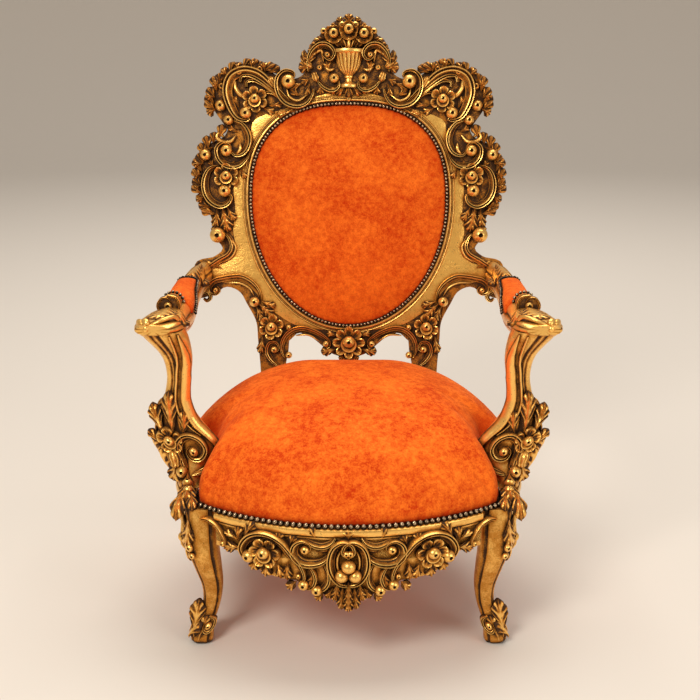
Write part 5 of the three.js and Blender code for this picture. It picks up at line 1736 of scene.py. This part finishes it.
# %% The pads as saddles
def arm_saddle():
    """A pad over the top of the arm, rounded at both ends."""
    angle = np.linspace(0, math.pi, 29)
    c, s = np.cos(angle), np.sin(angle)
    rings = []
    for y in np.linspace(PAD_FRONT, PAD_BACK, 44):
        _, z, _, half_tall = arm_row(y)
        middle = abs(2 * (y - PAD_FRONT) / (PAD_BACK - PAD_FRONT) - 1)
        fall = min(1, math.sqrt(max(0.0, 1 - middle**7)) + 0.02)
        (inner, inner_z), (outer, outer_z) = pad_edge(y, 1), pad_edge(y, -1)
        low = inner_z + (outer_z - inner_z) * (0.5 - 0.5 * c)
        px = (inner + outer) / 2 + (inner - outer) / 2 * np.sign(c) * np.abs(c) ** 0.75
        pz = low + (z + half_tall + 8 * fall - low) * s**0.72 * (0.86 + 0.14 * fall)
        rings.append(np.column_stack([px, np.full(29, y), pz, np.ones(29)]))
    return loft(rings)


def held_by_nails(points):
    """Points of either pad that lie close above the velvet's edge."""
    x, y, z = -np.abs(points[:, 0]), points[:, 1], points[:, 2]
    side = np.where(x > arm_row(y)[0], 1, -1)
    return z < pad_edge(y, side)[1] + 4


saddle = [arm_saddle()]
for side_name, forms in (("left", saddle), ("right", mirrored(saddle))):
    padding(
        "arm_velvet_" + side_name, forms, arm_velvet, "arm_pad_" + side_name, 0.004,
        held_by_nails, 0.0045,
    )

# %% [markdown]
# ## Nails of the seat and the arms
# The seat's nails stand in the corner between rail and velvet, so their heads face outwards
# and up. Smaller ones hold the arm pads along their sides and across both ends.

# %% Seat nails
SEAT_PITCH, SEAT_HEAD = 12.6, 5.3
PAD_PITCH, PAD_HEAD = 10.5, 3.9
closed_line = np.vstack([seat_nail_line, seat_nail_line[:1]])
whole = distances(closed_line)[-1]
spots = np.linspace(0, whole, int(whole / SEAT_PITCH), endpoint=False)
seat_studs = []
for p, q in zip(evenly(closed_line, spots), evenly(closed_line, (spots + 4) % whole)):
    out = np.array([p[1] - q[1], q[0] - p[0]]) / np.linalg.norm(q - p)
    seat_studs.append(stud((*p, RAIL_TOP + 5), (*out, 0.75), SEAT_HEAD, sides=14))
make_piece("seat_nail_row", seat_studs, aged_brass, "nails", "seat_nails")
print(len(seat_studs), "nails round the seat,", SEAT_PITCH, "mm apart")

# %% [markdown]
# Each pad has a row of nails along both sides, one over the rim of the roll and one across
# its back end.

# %% Arm nails
pad_studs = []
for side in (-1, 1):
    for y in np.arange(PAD_FRONT + 8, PAD_BACK - 4, PAD_PITCH):
        x, z = pad_edge(y, side)
        pad_studs.append(stud((x + side * 4, y, z + 1), (side, 0, 0.7), PAD_HEAD, sides=10))
for a in np.linspace(-0.35, math.pi + 0.35, 11):  # over the rim of the roll
    c, s = math.cos(a), math.sin(a)
    place = (ROLL_BACK[0] + ROLL_RADIUS * c, ROLL_BACK[1], ROLL_BACK[2] + ROLL_RADIUS * s)
    pad_studs.append(stud(place, (c, -0.5, s + 0.3), PAD_HEAD, sides=10))
(inner, inner_z), (outer, outer_z) = pad_edge(PAD_BACK, 1), pad_edge(PAD_BACK, -1)
_, z, _, half_tall = arm_row(PAD_BACK)
for a in np.linspace(0.1, math.pi - 0.1, 11):  # across the back end
    c, s = math.cos(a), math.sin(a)
    low = inner_z + (outer_z - inner_z) * (0.5 - 0.5 * c)
    x = (inner + outer) / 2 + (inner - outer) / 2 * np.sign(c) * abs(c) ** 0.75
    place = (x, PAD_BACK + 1, low + (z + half_tall + 4 - low) * s**0.72)
    pad_studs.append(stud(place, (0.4 * c, 0.3, 0.9), PAD_HEAD, sides=10))
make_piece("arm_nails_left", pad_studs, aged_brass, "nails")
make_piece("arm_nails_right", mirrored(pad_studs), aged_brass, "nails")

# %% [markdown]
# ## Light, floor and camera
# Gold needs both light and dark to mirror, so the room is dim and the lamps are large and
# soft: a key from the left above, a weaker fill from the right, and a light from the top
# that lifts the velvet. The floor runs up into a wall without an edge. The camera looks
# slightly down on the seat, from the distance at which the whole chair fills the view.

# %% Camera and lamps
camera = bpy.data.objects.new("camera", bpy.data.cameras.new("camera"))
camera.data.lens, camera.data.sensor_width = 61.71, 36
camera.location = (0.003, cad_box[0].y - 2.123, 1.310)
camera.rotation_euler = (math.radians(73.5), 0, 0)
bpy.context.scene.collection.objects.link(camera)
bpy.context.scene.camera = camera


def soft_light(name, place, aim, size, power, colour):
    lamp = bpy.data.objects.new(name, bpy.data.lights.new(name, "AREA"))
    lamp.data.size, lamp.data.energy, lamp.data.color = size, power, colour
    lamp.location = place
    lamp.rotation_euler = (Vector(aim) - Vector(place)).to_track_quat("-Z", "Y").to_euler()
    bpy.context.scene.collection.objects.link(lamp)


chest = (0, 0, 0.75)
soft_light("key", (-1.3, -2.4, 2.7), chest, 1.1, 70, (1.0, 0.96, 0.9))
soft_light("fill", (2.2, -1.9, 1.5), chest, 1.6, 24, (1.0, 0.97, 0.94))
soft_light("top", (0.3, 2.0, 5.0), (0, 2.0, 0), 4.0, 210, (1.0, 0.98, 0.95))
print("a lens of", round(camera.data.lens), "mm and three lamps")

# %% [markdown]
# The floor is a wide disc whose rim bends up into a wall, like the sweep of paper that
# a maker sets finished work on, so that no horizon shows from any side.

# %% The room and its floor
bpy.context.scene.view_settings.view_transform = "Standard"
world = bpy.data.worlds.new("studio")
bpy.context.scene.world = world
world.use_nodes = True
glow = world.node_tree.nodes["Background"]
glow.inputs["Color"].default_value, glow.inputs["Strength"].default_value = (0.75, 0.7, 0.64, 1), 0.45

FLOOR, WALL, PARTS = 7, 3, 96  # radius of the flat floor and of its bend; sides of the room
bend = [(FLOOR + WALL * math.sin(a), WALL - WALL * math.cos(a)) for a in np.linspace(0, math.pi / 2, 12)]
round_the_room = np.linspace(0, 2 * math.pi, PARTS, endpoint=False)
points = [(r * math.cos(a), r * math.sin(a), z) for r, z in bend for a in round_the_room]
faces = [tuple(range(PARTS))]
for low in range(0, PARTS * (len(bend) - 1), PARTS):
    for i in range(PARTS):
        after = (i + 1) % PARTS
        faces.append((low + i, low + PARTS + i, low + PARTS + after, low + after))
floor_mesh = bpy.data.meshes.new("floor")
floor_mesh.from_pydata(points, [], faces)
floor_mesh.polygons.foreach_set("use_smooth", [True] * len(faces))
floor = bpy.data.objects.new("floor", floor_mesh)
bpy.context.scene.collection.objects.link(floor)
pale, _, matt = new_material("pale_floor")
matt.inputs["Base Color"].default_value = (0.72, 0.65, 0.57, 1)
matt.inputs["Roughness"].default_value = 0.9
floor_mesh.materials.append(pale)
print("a pale floor of", FLOOR, "m with a bend of", WALL, "m")

# %% [markdown]
# ## Finish
# The view layer is brought up to date, so that every piece stands where it was put. Cloth may
# stand only a little past the solids.

# %% Finish
bpy.context.view_layer.update()
